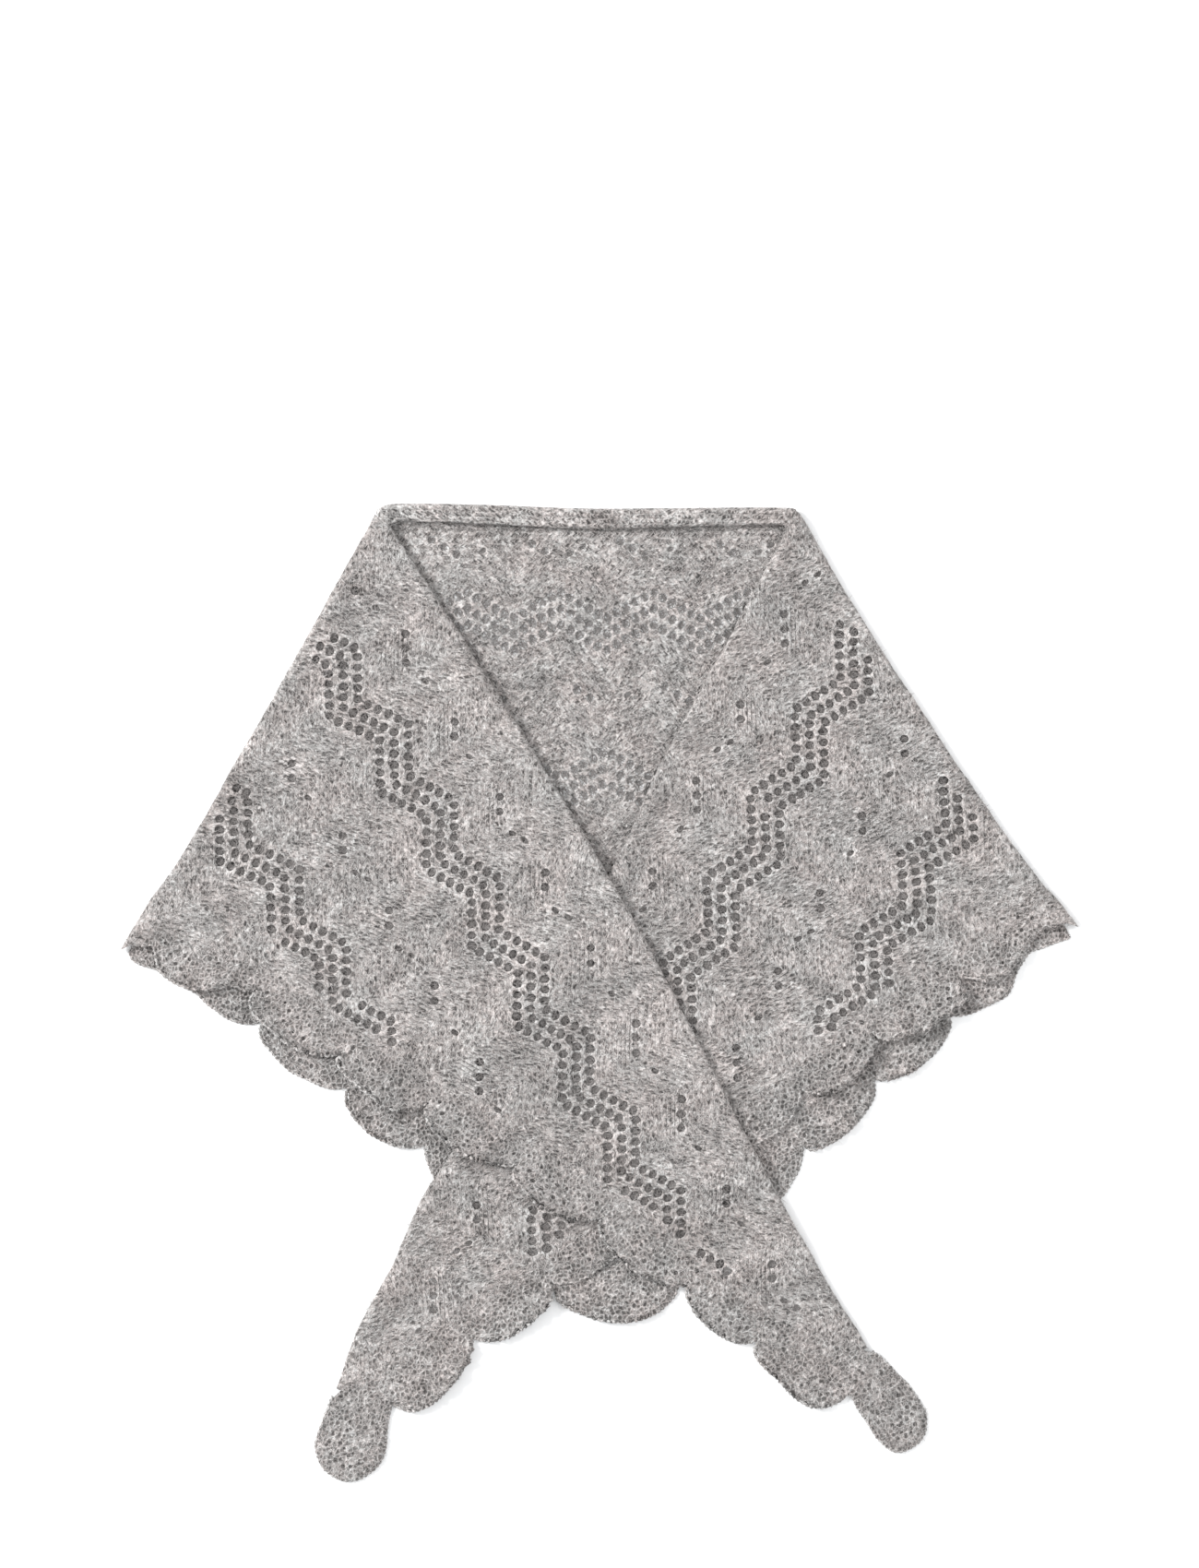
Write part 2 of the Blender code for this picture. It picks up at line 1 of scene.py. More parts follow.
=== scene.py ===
"""Looks of the triangle shawl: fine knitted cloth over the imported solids, with floor, light, camera.

Sizes are millimetres until a mesh is made. Each layer is one thin shell, cut as a flat pattern with
its eyelets, and laid on the level that its solid has. The stitches run in the pattern's own
coordinates: s along the shawl's long edge, t from that edge into the cloth.
"""

import math

import bpy
import numpy as np
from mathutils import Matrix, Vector
from mathutils.geometry import delaunay_2d_cdt

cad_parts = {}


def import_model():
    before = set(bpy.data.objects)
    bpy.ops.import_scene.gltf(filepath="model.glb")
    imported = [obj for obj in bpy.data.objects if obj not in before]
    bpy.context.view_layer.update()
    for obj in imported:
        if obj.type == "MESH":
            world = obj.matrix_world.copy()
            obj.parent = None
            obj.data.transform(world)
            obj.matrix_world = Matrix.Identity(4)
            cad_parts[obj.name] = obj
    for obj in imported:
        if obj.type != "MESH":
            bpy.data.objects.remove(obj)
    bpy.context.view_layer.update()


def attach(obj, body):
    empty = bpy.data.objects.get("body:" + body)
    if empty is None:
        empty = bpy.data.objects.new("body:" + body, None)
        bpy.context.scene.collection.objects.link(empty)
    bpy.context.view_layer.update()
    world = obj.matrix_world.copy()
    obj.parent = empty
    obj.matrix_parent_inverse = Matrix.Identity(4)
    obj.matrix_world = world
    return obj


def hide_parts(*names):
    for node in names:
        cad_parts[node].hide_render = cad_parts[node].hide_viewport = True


METRE = 0.001
TINY = 1e-9

# Cloth and the way that its layers lie, as in the solids
WALL = 1.8
LAYER = 2.1
FOLD_RADIUS = 4.0
FOLD_LOFT = 2.6
FOLD_FADE = 30.0
CURL_RADIUS = 3.5
CURL_FADE = 22.0
DRAPE_MARGIN = 13.0
DRAPE_RAMP = 24.0
UPPER_LAYER_MARGIN = 14.0
RIDGE_FLAT = 14.0
RIDGE_FADE = 26.0
BACK_TOP = 2.0
BACK_CORNER = 20.0
SEAM_GAP = 0.3
FOLD_CORNER = 6.4
NECK_CORNER = 3.0
LONG_EDGE_Y = 321.0
CLOTH_MIDDLE = np.array([0.0, 100.0])
NECK_RISE = 7.4
NECK_TUCK = 11.0
NECK_TUCK_GAP = 1.1
NECK_TUCK_TURN = 0.75 * math.pi
BORDER_INSET = 12.0
BORDER_REACH = 30.0
LOBE_ROUNDNESS = 0.55
LEAN_SHARE = 0.35
RUFFLE_SKEW = 0.45

# Shell: how far it lies inside the solid's wall, and how finely it is cut
SHELL_SINK = 0.3
SHELL = 1.2
CUT_TOLERANCE = 1e-5
FINE = 2.0
COARSE = 6.5
HIDDEN_MARGIN = 16.0
CURVE_STEPS = 20
COARSE_STEPS = 5
LOBE_STEPS = 36
COARSE_LOBE_STEPS = 7
GRID = 21.0
FOLD_STATIONS = 150
EDGE_STATIONS = 280
TURN_STEPS = 9
SIDE_STATIONS = 120
NECK_STATIONS = 130

# Stitches
WALE = 3.3
COURSE = 2.7
ZIGZAG_RISE = 18.0
EYELET_LENGTH = 5.6
EYELET_WIDTH = 6.7
EYELET_PITCH = 6.2
STRING_SPACING = 10.6
EYELET_STRAND = -0.1
EYELET_SIDES = 12
EYELET_UNEVEN = 0.07
FOLD_SAG = 7.0
FOLD_SAG_REACH = 110.0
RIM_RING = 0.7
# How strongly the colour is darkened in the gaps between strands: painted shade
NET_PAINTED_SHADE = 0.52

# Cast-off cord: its radius and how it varies, and how strong the painted highlight on it is as a rim
CORD_STEP = 0.85
CORD_SIDES = 6
CORD_RADIUS = 0.8
CORD_SWELL = 0.3
CORD_UNEVEN = 0.1
CORD_SWAY = 0.35
CORD_PAINTED_HIGHLIGHT = 0.8

# Loose fibres: how many a piece has, their lengths, half widths, and tones from dark to light; the fibres
# across the eyelets are kept dark as painted shade in the holes
FIBRES = {"back": 16000, "under": 24000, "over": 34000}
FIBRE_LENGTHS = (1.2, 7.5)
LOOSE_HALF_WIDTH = (0.07, 0.14)
CROSSING_HALF_WIDTH = (0.08, 0.17)
LOOSE_TONE = (0.35, 1)
CROSSING_SHADE_TONE = (0.05, 0.5)
FLOOR_GAP = 0.05
FEW_CROSSINGS = 13
MANY_CROSSINGS = 30

# Silhouette of the two folds, neck end first: x, y
LEFT_FOLD = [(-148.2, 320.7), (-184, 256), (-245, 148), (-277, 93), (-301, 59), (-319.2, 28)]
RIGHT_FOLD = [(132.2, 320.7), (184, 234), (252, 132), (289, 80), (308, 58), (319.2, 43.4)]

# Where the neck roll leaves the flat of the back, and the two ears of the back beside it: x, y
NECK_LINE = [
    (-149.5, 319.8), (-146, 323.2), (-138, 325.4), (-129, 325.6), (-80, 324.8),
    (-6, 322.2), (55, 322.6), (122, 322.8), (131, 320.6), (134.5, 317.0),
]
NECK_BASE = [(-141.0, 307.6), (126.0, 306.6)]
LEFT_EAR, RIGHT_EAR = (-144.6, 311.5), (128.6, 311.0)

# Straight edge of each wing, neck end first: x, y
OVER_EDGE = [
    (-146.4, 321.3), (-92, 237), (-31, 140), (31, 34), (98, -95), (141, -175), (178.3, -236.5),
]
UNDER_EDGE = [
    (130.4, 319.5), (80, 225), (43, 157), (15, 96), (-37, -3),
    (-89, -92), (-118, -137), (-138, -181), (-163, -228.5), (-175.3, -264),
]

# Share of a straight edge's length, and how high its curl stands there
OVER_CURL = [(0.0, 6.0), (0.85, 6.0), (1.0, 4.4)]
UNDER_CURL = [(0.0, 6.0), (0.32, 6.0), (0.38, 4.4), (0.86, 4.4), (0.9, 5.2), (1.0, 4.4)]
HIDDEN_CURL = (0.37, 0.88)

# Scallops: x and y of the notch that ends each lobe, its depth, its lean along the edge, its lift
OVER_LOBES = [
    (-305, 30.5, 0, 0, 0), (-225.7, 4.6, 15, 0.35, 3.0), (-169.1, -37.2, 20, -0.05, 5.0),
    (-112.5, -71.6, 19, 0.25, 5.0), (-51.7, -110.4, 18, 0.0, 4.5), (6.2, -145.4, 20, -0.15, 4.5),
    (60.9, -192.2, 19, -0.25, 4.0), (107.6, -229.1, 17, 0.1, 3.0), (166.7, -267.8, 21, 0.4, 3.0),
]
UNDER_LOBES = [
    (304, 44.5, 0, 0, 0), (238.6, 10.8, 17, 0.15, 3.0), (181.4, -26.1, 20, -0.1, 4.5),
    (132.8, -63.0, 18, 0.1, 4.0), (83.6, -101.2, 14, 0.0, 0.0), (25.8, -147.3, 14, 0.0, 0.0),
    (-32.6, -192.2, 14, 0.0, 0.0), (-87.9, -226.6, 17, 0.1, 3.0), (-138.4, -274.6, 19, 0.15, 3.0),
]
BACK_LOBES = [
    (-313.5, 27, 0, 0, 0), (-223.9, -17.5, 9, 0.1, 1.5), (-164.8, -60.0, 17, -0.1, 2.0),
    (-113.8, -99.3, 19, 0.0, 2.0), (-70.1, -145.4, 14, 0.0, 0.0), (-30.8, -192.2, 14, 0.0, 0.0),
    (52.3, -194.0, 26, 0.1, 2.0), (92.2, -151.6, 14, 0.0, 0.0), (132.2, -99.3, 14, 0.0, 0.0),
    (179.6, -53.2, 19, 0.0, 2.0), (232.5, -15.7, 17, -0.1, 2.0), (314.0, 36.5, 10, -0.1, 1.5),
]

# Lobes beside the folds, whose lines are uneven: which lobe, then its points
OVER_ODD = {1: [
    (-305, 31.5), (-297, 30.5), (-294, 22), (-287, 11), (-273, 3), (-256, 2.4), (-245, 4.6), (-234, 0.6),
    (-225.7, 4.6),
]}
UNDER_ODD = {1: [
    (304, 44.5), (295, 43), (288, 36), (283, 24), (274, 13), (262, 7.5), (250, 9), (238.6, 10.8),
]}
BACK_ODD = {
    1: [
        (-313.5, 24), (-307, 18.5), (-295, 15), (-284, 8.3), (-270.6, 0.5), (-259, -9.5), (-245, -18.5),
        (-231, -21), (-223.9, -17.5),
    ],
    11: [
        (232.5, -15.7), (244.6, -14.4), (255.8, -10.6), (266.9, -4.4), (273, 1), (278.2, 12.6),
        (282.3, 20), (287, 26.6), (300.5, 32.0), (314, 36.5),
    ],
}

# Tips of the wings, from the end of the straight edge round to the last notch: x, y
OVER_TIP = [
    (181.5, -239.2), (199.9, -256.1), (215.2, -276.4), (217.1, -288.7), (212.2, -300.4),
    (198.0, -306.0), (186.3, -298.0), (178.3, -285.7),
]
UNDER_TIP = [
    (-177.4, -268.4), (-186.3, -291.8), (-188.8, -305.3), (-181.4, -319.5), (-167.3, -325.6),
    (-153.8, -320.7), (-144.5, -307.2), (-141.4, -288.7),
]
OVER_INWARD, UNDER_INWARD = (0.555, 0.832), (-0.555, 0.832)
BACK_INWARD = [(0.526, 0.85), (-0.57, 0.822)]

# Lace bands: distance from the long edge, where the band starts and ends along it, the place of
# its first rising stretch, and the length of one repeat
OVER_BANDS = [(74, 40, 560, 87.6, 60), (184, 112, 420, 134, 60)]
UNDER_BANDS = [(80, 40, 560, 69, 63), (187, 100, 420, 123, 60)]
BACK_BANDS = [(74, -100, 120, -73, 62), (180, -60, 62, -42, 62)]

# Single strings between the bands: the same columns. Of each, a few eyelets show in a repeat.
OVER_STRINGS = [(28, 30, 600, 87.6, 60), (131, 100, 500, 117.6, 60)]
UNDER_STRINGS = [(28, 30, 600, 69, 63), (134, 100, 500, 100, 60)]
BACK_STRINGS = [(24, -120, 130, -42, 62), (122, -90, 90, -73, 62)]

# Soft creases: x1, y1, x2, y2, height, width; each starts and ends at these shares of its line
CREASE_SPAN = (0.08, 0.92)
OVER_CREASES = [
    (-178, 236, -120, 120, 1.3, 16), (-150, 30, -40, -70, 1.0, 18), (-262, 92, -196, 48, 1.2, 15),
    (40, -60, 118, -196, 1.4, 16), (-98, 176, -38, 62, 1.0, 14), (132, -190, 178, -262, 1.2, 13),
]
UNDER_CREASES = [
    (168, 226, 128, 132, 1.2, 16), (262, 84, 196, 34, 1.2, 15), (210, 150, 150, 40, 1.0, 18),
    (-96, -190, -150, -290, 1.3, 13),
]


def smooth_curve(rows, steps):
    """Points of a Catmull-Rom curve through the rows, with this many steps between two of them."""
    rows = np.array([row[:2] for row in rows], float)
    ends = np.vstack([2 * rows[0] - rows[1], rows, 2 * rows[-1] - rows[-2]])
    made = []
    for before, start, end, after in zip(ends, ends[1:], ends[2:], ends[3:]):
        for step in range(steps):
            t = step / steps
            made.append(
                0.5 * (2 * start + (end - before) * t + (2 * before - 5 * start + 4 * end - after) * t**2
                       + (3 * start - before - 3 * end + after) * t**3)
            )
    made.append(rows[-1])
    return np.array(made)


def lengths_along(line):
    return np.concatenate([[0], np.cumsum(np.linalg.norm(np.diff(line, axis=0), axis=1))])


def resample(line, places):
    """Points of the line at these lengths along it."""
    along = lengths_along(line)
    return np.stack([np.interp(places, along, line[:, axis]) for axis in (0, 1)], axis=1)


def inward_normals(line, inside):
    """Unit normals at the points of a line, on the side where the point inside lies."""
    ahead = np.gradient(line, axis=0)
    ahead /= np.linalg.norm(ahead, axis=1)[:, None]
    normals = np.stack([-ahead[:, 1], ahead[:, 0]], axis=1)
    side = np.sign(((np.array(inside) - line) * normals).sum(axis=1))
    return normals * side[:, None]


def nearest_on(line, points):
    """For each point: its distance to the line, the segment that is nearest, the share of it, and
    the length along the line."""
    start, step = line[:-1], np.diff(line, axis=0)
    size = np.maximum((step**2).sum(axis=1), TINY)
    before = lengths_along(line)
    found = []
    for part in np.array_split(points, len(points) // 4000 + 1):
        share = np.clip(((part[:, None] - start) * step).sum(axis=2) / size, 0, 1)
        apart = np.linalg.norm(part[:, None] - start - share[..., None] * step, axis=2)
        best = apart.argmin(axis=1)
        rows = np.arange(len(part))
        along = before[best] + share[rows, best] * np.sqrt(size[best])
        found.append((apart[rows, best], best, share[rows, best], along))
    return [np.concatenate(column) for column in zip(*found)]


def inside_of(polygon, points):
    found = []
    x1, y1 = polygon[:, 0], polygon[:, 1]
    x2, y2 = np.roll(x1, -1), np.roll(y1, -1)
    rise = np.where(y2 == y1, 1, y2 - y1)
    for part in np.array_split(points, len(points) // 4000 + 1):
        x, y = part[:, 0, None], part[:, 1, None]
        crossing = ((y1 > y) != (y2 > y)) & (x < x1 + (y - y1) * (x2 - x1) / rise)
        found.append(crossing.sum(axis=1) % 2 == 1)
    return np.concatenate(found)


def ease(share):
    share = np.clip(share, 0, 1)
    return share * share * (3 - 2 * share)


def closed(polygon):
    return np.vstack([polygon, polygon[:1]])


def cover(polygon, points, margin):
    """One over the polygon and a margin round it, falling smoothly to nothing outside."""
    apart = nearest_on(closed(polygon), points)[0]
    apart = np.where(inside_of(polygon, points), 0, apart)
    return 1 - ease((apart - margin) / DRAPE_RAMP)


def scalloped(rows, steps):
    """The scalloped line through the notches, each lobe bulging to the outer side by its depth."""
    made = [np.array(rows[0][:2], float)]
    for (x1, y1, *_), (x2, y2, depth, lean, _) in zip(rows, rows[1:]):
        start, end = np.array([x1, y1], float), np.array([x2, y2], float)
        chord = end - start
        out = np.array([chord[1], -chord[0]]) / np.linalg.norm(chord)
        if np.dot(out, start - CLOTH_MIDDLE) < 0:
            out = -out
        for step in range(1, steps + 1):
            u = step / steps
            bulge = (4 * u * (1 - u)) ** LOBE_ROUNDNESS if step < steps else 0
            leaned = u + lean * LEAN_SHARE * bulge * math.sin(math.pi * u)
            made.append(start + chord * leaned + out * depth * bulge)
    return np.array(made)


def hem_line(rows, odd):
    """The fine scalloped line, with the odd lobes through their own points."""
    line = scalloped(rows, LOBE_STEPS)
    parts = [line[:1]]
    for lobe in range(1, len(rows)):
        if lobe in odd:
            own = smooth_curve(odd[lobe], 8)
            even = resample(own, np.linspace(0, lengths_along(own)[-1], LOBE_STEPS + 1))
            parts.append(even[1:])
        else:
            parts.append(line[1 + (lobe - 1) * LOBE_STEPS:1 + lobe * LOBE_STEPS])
    return np.vstack(parts)


def wavering(line, amount, seed):
    """The line with the small unevenness of a knitted edge; its ends stay."""
    along = lengths_along(line)
    ahead = np.gradient(line, axis=0)
    ahead /= np.maximum(np.linalg.norm(ahead, axis=1), TINY)[:, None]
    aside = np.column_stack([-ahead[:, 1], ahead[:, 0]])
    row = np.column_stack([along, np.zeros(len(along))])
    waver = soft_noise(row, 15, seed) + 0.5 * soft_noise(row, 5.5, seed + 1)
    held = np.clip(np.minimum(along, along[-1] - along) / 8, 0, 1)
    return line + aside * (amount * waver * held)[:, None]


def seam_line(rows, inward):
    """The line where the border starts: the notches moved inward."""
    notches = np.array([row[:2] for row in rows], float)
    return notches + BORDER_INSET * np.asarray(inward)


def soft_noise(points, size, seed):
    """Smooth noise from -1 to 1 over the plane, with bumps of this size."""
    grid = np.random.default_rng(seed).uniform(-1, 1, (64, 64))
    cell = points / size
    low = np.floor(cell).astype(int)
    part = cell - low
    part = part * part * (3 - 2 * part)
    value = 0
    for i in (0, 1):
        for j in (0, 1):
            weight = (part[:, 0] if i else 1 - part[:, 0]) * (part[:, 1] if j else 1 - part[:, 1])
            value = value + weight * grid[(low[:, 0] + i) % 64, (low[:, 1] + j) % 64]
    return value


def relief(points, seed):
    """The soft unevenness of relaxed knitting: always upward, half a millimetre at most."""
    total = 0.55 * soft_noise(points, 34, seed) + 0.45 * soft_noise(points, 13, seed + 1)
    return 0.28 * (1 + total)


def crease_height(points, creases):
    total = np.zeros(len(points))
    for x1, y1, x2, y2, height, width in creases:
        line = np.array([(x1, y1), (x2, y2)], float)
        apart, _, share, _ = nearest_on(line, points)
        total += height * np.exp(-((apart / width) ** 2)) * np.sin(np.pi * np.clip(share, *CREASE_SPAN))
    return total


class Border:
    """The scalloped border of one layer: where it lies and how its lobes lift and overlap."""

    def __init__(self, lobes, seam, outer):
        self.notches = np.array([row[:2] for row in lobes], float)
        self.lifts = np.array([row[4] for row in lobes[1:]])
        self.seam = seam
        self.outer = outer
        self.area = np.vstack([seam, outer[::-1]])

    def reach(self, points):
        """Nought at the seam and inside the body, one at the notches' line and beyond."""
        far = np.clip(nearest_on(self.seam, points)[0] / BORDER_REACH, 0, 1)
        return np.where(inside_of(self.area, points), far, 0)

    def ruffle(self, points):
        """How each point of the border moves: sideways over the lobe before, and up."""
        _, lobe, share, _ = nearest_on(self.notches, points)
        reach = self.reach(points)
        to_rim = nearest_on(self.outer, points)[0]
        lift = 1.25 * self.lifts[lobe] * reach**1.5 * np.sin(np.pi * share**RUFFLE_SKEW) ** 0.8
        loose = np.minimum(self.lifts[lobe] / 3, 1) * reach
        lift += 1.8 * loose * (1 - ease(to_rim / 5.5)) * ease(share / 0.08) * ease((1 - share) / 0.2)
        lift += loose * (1.1 + 0.8 * soft_noise(points, 12, 81) + 0.3 * soft_noise(points, 6, 82))
        back = self.notches[lobe] - self.notches[lobe + 1]
        back /= np.linalg.norm(back, axis=1)[:, None]
        push = 2.3 * self.lifts[lobe] * reach**2.2 * ease(share / 0.06) * (1 - ease((share - 0.1) / 0.4))
        return back * push[:, None], lift


class Wing:
    """One folded-over wing: where its edges run and how high it lies."""

    def __init__(self, fold, edge, curl, lobes, odd, tip, creases, inward, resting):
        self.fold = wavering(smooth_curve(fold, CURVE_STEPS), 0.5, 91)
        self.edge = wavering(smooth_curve(edge, CURVE_STEPS), 0.45, 93)
        self.curl = np.array(curl)
        self.creases = creases
        self.resting = resting
        self.inside = 0.5 * (self.fold[len(self.fold) // 2] + self.edge[len(self.edge) // 2])
        tip_line = smooth_curve([*tip, lobes[-1]], 8)
        self.hem = wavering(np.vstack([hem_line(lobes, odd), tip_line[-2::-1]]), 0.8, 95)
        self.corner = self.corner_point()
        self.fold_lines()
        self.edge_lines()
        seam = np.vstack([seam_line(lobes[:-1], inward), self.inner_edge[-1:]])
        self.border = Border(lobes, seam, self.hem)
        rough = smooth_curve([*tip, lobes[-1]], 2)
        self.outline = np.vstack([
            smooth_curve(fold, COARSE_STEPS), scalloped(lobes, COARSE_LOBE_STEPS)[1:],
            rough[::-1], smooth_curve(edge, COARSE_STEPS)[::-1],
        ])
        self.along = self.edge[-1] - self.edge[0]
        self.along /= np.linalg.norm(self.along)
        self.across = inward_normals(np.array([self.edge[0], self.edge[-1]]), self.inside)[0]

    def corner_point(self):
        places = []
        for path, offset in ((self.fold, FOLD_RADIUS), (self.edge, CURL_RADIUS)):
            normal = inward_normals(path, self.inside)[0]
            places.append((path[0] + offset * normal, path[1] - path[0]))
        (p, d), (q, e) = places
        return p + ((q - p)[0] * e[1] - (q - p)[1] * e[0]) / (d[0] * e[1] - d[1] * e[0]) * d

    def turned_line(self, path, radius, stations):
        """The inner and the outer line of a turned edge."""
        start = nearest_on(path, self.corner[None])[3][0]
        line = resample(path, np.linspace(start, lengths_along(path)[-1], stations))
        inner = line + radius * inward_normals(line, self.inside)
        inner[0] = self.corner
        line[0] = resample(path, [NECK_CORNER])[0]
        return inner, line

    def fold_lines(self):
        self.inner_fold, self.outer_fold = self.turned_line(self.fold, FOLD_RADIUS, FOLD_STATIONS)
        last = self.outer_fold[-1] - self.outer_fold[-2]
        shift = last / np.linalg.norm(last) * FOLD_CORNER
        self.inner_fold[-4:] -= shift * np.array([0.25, 0.5, 0.75, 1])[:, None]

    def edge_lines(self):
        self.inner_edge, self.outer_edge = self.turned_line(self.edge, CURL_RADIUS, EDGE_STATIONS)

    def height(self, points):
        """The level of the solid wing's lower face."""
        resting = self.resting(points)
        to_fold = nearest_on(self.fold, points)[0]
        level = resting + FOLD_LOFT * (1 - ease((to_fold - FOLD_RADIUS) / FOLD_FADE))
        to_edge, _, _, along = nearest_on(self.edge, points)
        share = along / lengths_along(self.edge)[-1]
        rise = np.interp(share, self.curl[:, 0], self.curl[:, 1]) - WALL
        past_end = np.linalg.norm(points - self.edge[-1], axis=1)
        rise = np.where(share < 1, rise, rise * (1 - ease(past_end / FOLD_FADE)))
        curled = resting + rise * (1 - ease((to_edge - CURL_RADIUS) / CURL_FADE))
        return np.maximum(level, curled) + crease_height(points, self.creases)

    def knit_place(self, points):
        """Coordinates s and t of points in the wing's plane."""
        moved = points - self.edge[0]
        return np.stack([moved @ self.along, moved @ self.across], axis=1)


def zigzag(s, rising, repeat):
    phase = ((s - rising) / repeat + 0.25) % 1
    return ZIGZAG_RISE * np.where(phase < 0.5, (phase - 0.25) * 2, (0.75 - phase) * 2), phase < 0.5


def hexagon_ring():
    """A hexagon with rounded corners, half a unit across its sides."""
    turn = np.linspace(0, 2 * np.pi, EYELET_SIDES, endpoint=False)
    sixth = np.pi / 3
    reach = 1 / np.cos((turn + sixth / 2) % sixth - sixth / 2)
    return np.stack([np.cos(turn), np.sin(turn)], axis=1) * (0.45 * reach + 0.55)[:, None]


def lace(origin, along, across, bands, strings, fold, seed):
    """Eyelets of the bands and the single strings, each an uneven hexagon."""
    rng = np.random.default_rng(seed)
    rows = [(*band, string, False) for band in bands for string in (-1, 0, 1)]
    rows += [(*string, 0, True) for string in strings]
    ring = hexagon_ring()
    made = []
    for depth, start, end, rising, repeat, string, sparse in rows:
        pitch = EYELET_PITCH * (1.35 if sparse else 1)
        for s in np.arange(start, end, pitch):
            rise, climbs = zigzag(s, rising, repeat)
            phase = ((s - rising) / repeat + 0.25) % 1
            if sparse and not (0.12 < phase < 0.44 or 0.6 < phase < 0.78):
                continue
            slope = 2 * ZIGZAG_RISE / repeat * (1 if climbs else -1)
            jitter = rng.uniform(-0.22, 0.22, 2)
            t = depth + rise + string * STRING_SPACING + jitter[1]
            centre = origin + (s + jitter[0]) * along + t * across
            if fold is not None:
                to_fold = nearest_on(fold, centre[None])[0][0]
                centre = centre + FOLD_SAG * (1 - ease(to_fold / FOLD_SAG_REACH)) * across
            angle = rng.uniform(-0.12, 0.12)
            ahead = along + slope * across
            ahead /= np.linalg.norm(ahead)
            ahead = ahead * math.cos(angle) + np.array([-ahead[1], ahead[0]]) * math.sin(angle)
            aside = np.array([-ahead[1], ahead[0]])
            size = rng.uniform(0.86, 1.0)
            width = EYELET_WIDTH * (0.52 if sparse and not climbs else 0.9 if sparse else 1)
            half = np.array([EYELET_LENGTH, width]) * size / 2
            own = ring * (1 + rng.uniform(-EYELET_UNEVEN, EYELET_UNEVEN, (EYELET_SIDES, 1)))
            made.append(centre + own[:, :1] * half[0] * ahead + own[:, 1:] * half[1] * aside)
    return made


def edging_eyelets(border, seed):
    """Small eyelets in two rows along the scalloped line."""
    rng = np.random.default_rng(seed)
    made = []
    turn = np.linspace(0, 2 * np.pi, 8, endpoint=False)
    ring = np.stack([np.cos(turn), np.sin(turn)], axis=1)
    length = lengths_along(border.outer)[-1]
    for depth, pitch, size in ((8.5, 9.4, 1.2), (17.0, 12.6, 1.1)):
        places = np.arange(pitch, length - pitch, pitch)
        line = resample(border.outer, places)
        normals = inward_normals(resample(border.outer, places), border.seam.mean(axis=0))
        for at, normal in zip(line, normals):
            centre = at + normal * (depth + rng.uniform(-1, 1)) + rng.uniform(-0.8, 0.8, 2)
            made.append(centre + ring * size * rng.uniform(0.75, 1.15))
    return made


def clear_of(eyelets, polygon, margin):
    """The eyelets whose centres lie inside the polygon, clear of its line and of each other."""
    centres = np.array([eyelet.mean(axis=0) for eyelet in eyelets])
    kept = inside_of(polygon, centres) & (nearest_on(closed(polygon), centres)[0] > margin)
    chosen, places = [], []
    for number in np.flatnonzero(kept):
        size = np.linalg.norm(eyelets[number] - centres[number], axis=1).mean()
        if places:
            apart = np.linalg.norm(np.array([p for p, _ in places]) - centres[number], axis=1)
            if (apart < np.array([r for _, r in places]) + size + EYELET_STRAND).any():
                continue
        places.append((centres[number], size))
        chosen.append(eyelets[number])
    return chosen


def eyelet_distance(points, eyelets):
    """How far each point lies from the nearest eyelet's rim, up to a few millimetres."""
    apart = np.full(len(points), 9.0)
    for eyelet in eyelets:
        near = np.flatnonzero(np.abs(points - eyelet.mean(axis=0)).max(axis=1) < 9)
        if len(near):
            apart[near] = np.minimum(apart[near], nearest_on(closed(eyelet), points[near])[0])
    return apart


def new_object(name, points, faces, materials):
    """A mesh object from points in millimetres and rows of their numbers."""
    mesh = bpy.data.meshes.new(name)
    mesh.from_pydata((points * METRE).tolist(), [], faces.tolist())
    for material in materials:
        mesh.materials.append(material)
    made = bpy.data.objects.new(name, mesh)
    bpy.context.scene.collection.objects.link(made)
    return made


def set_uv(mesh, name, rows):
    mesh.uv_layers.new(name=name).data.foreach_set("uv", rows.astype(np.float32).ravel())


def set_values(mesh, name, values):
    mesh.attributes.new(name, "FLOAT", "POINT").data.foreach_set("value", values.astype(np.float32))


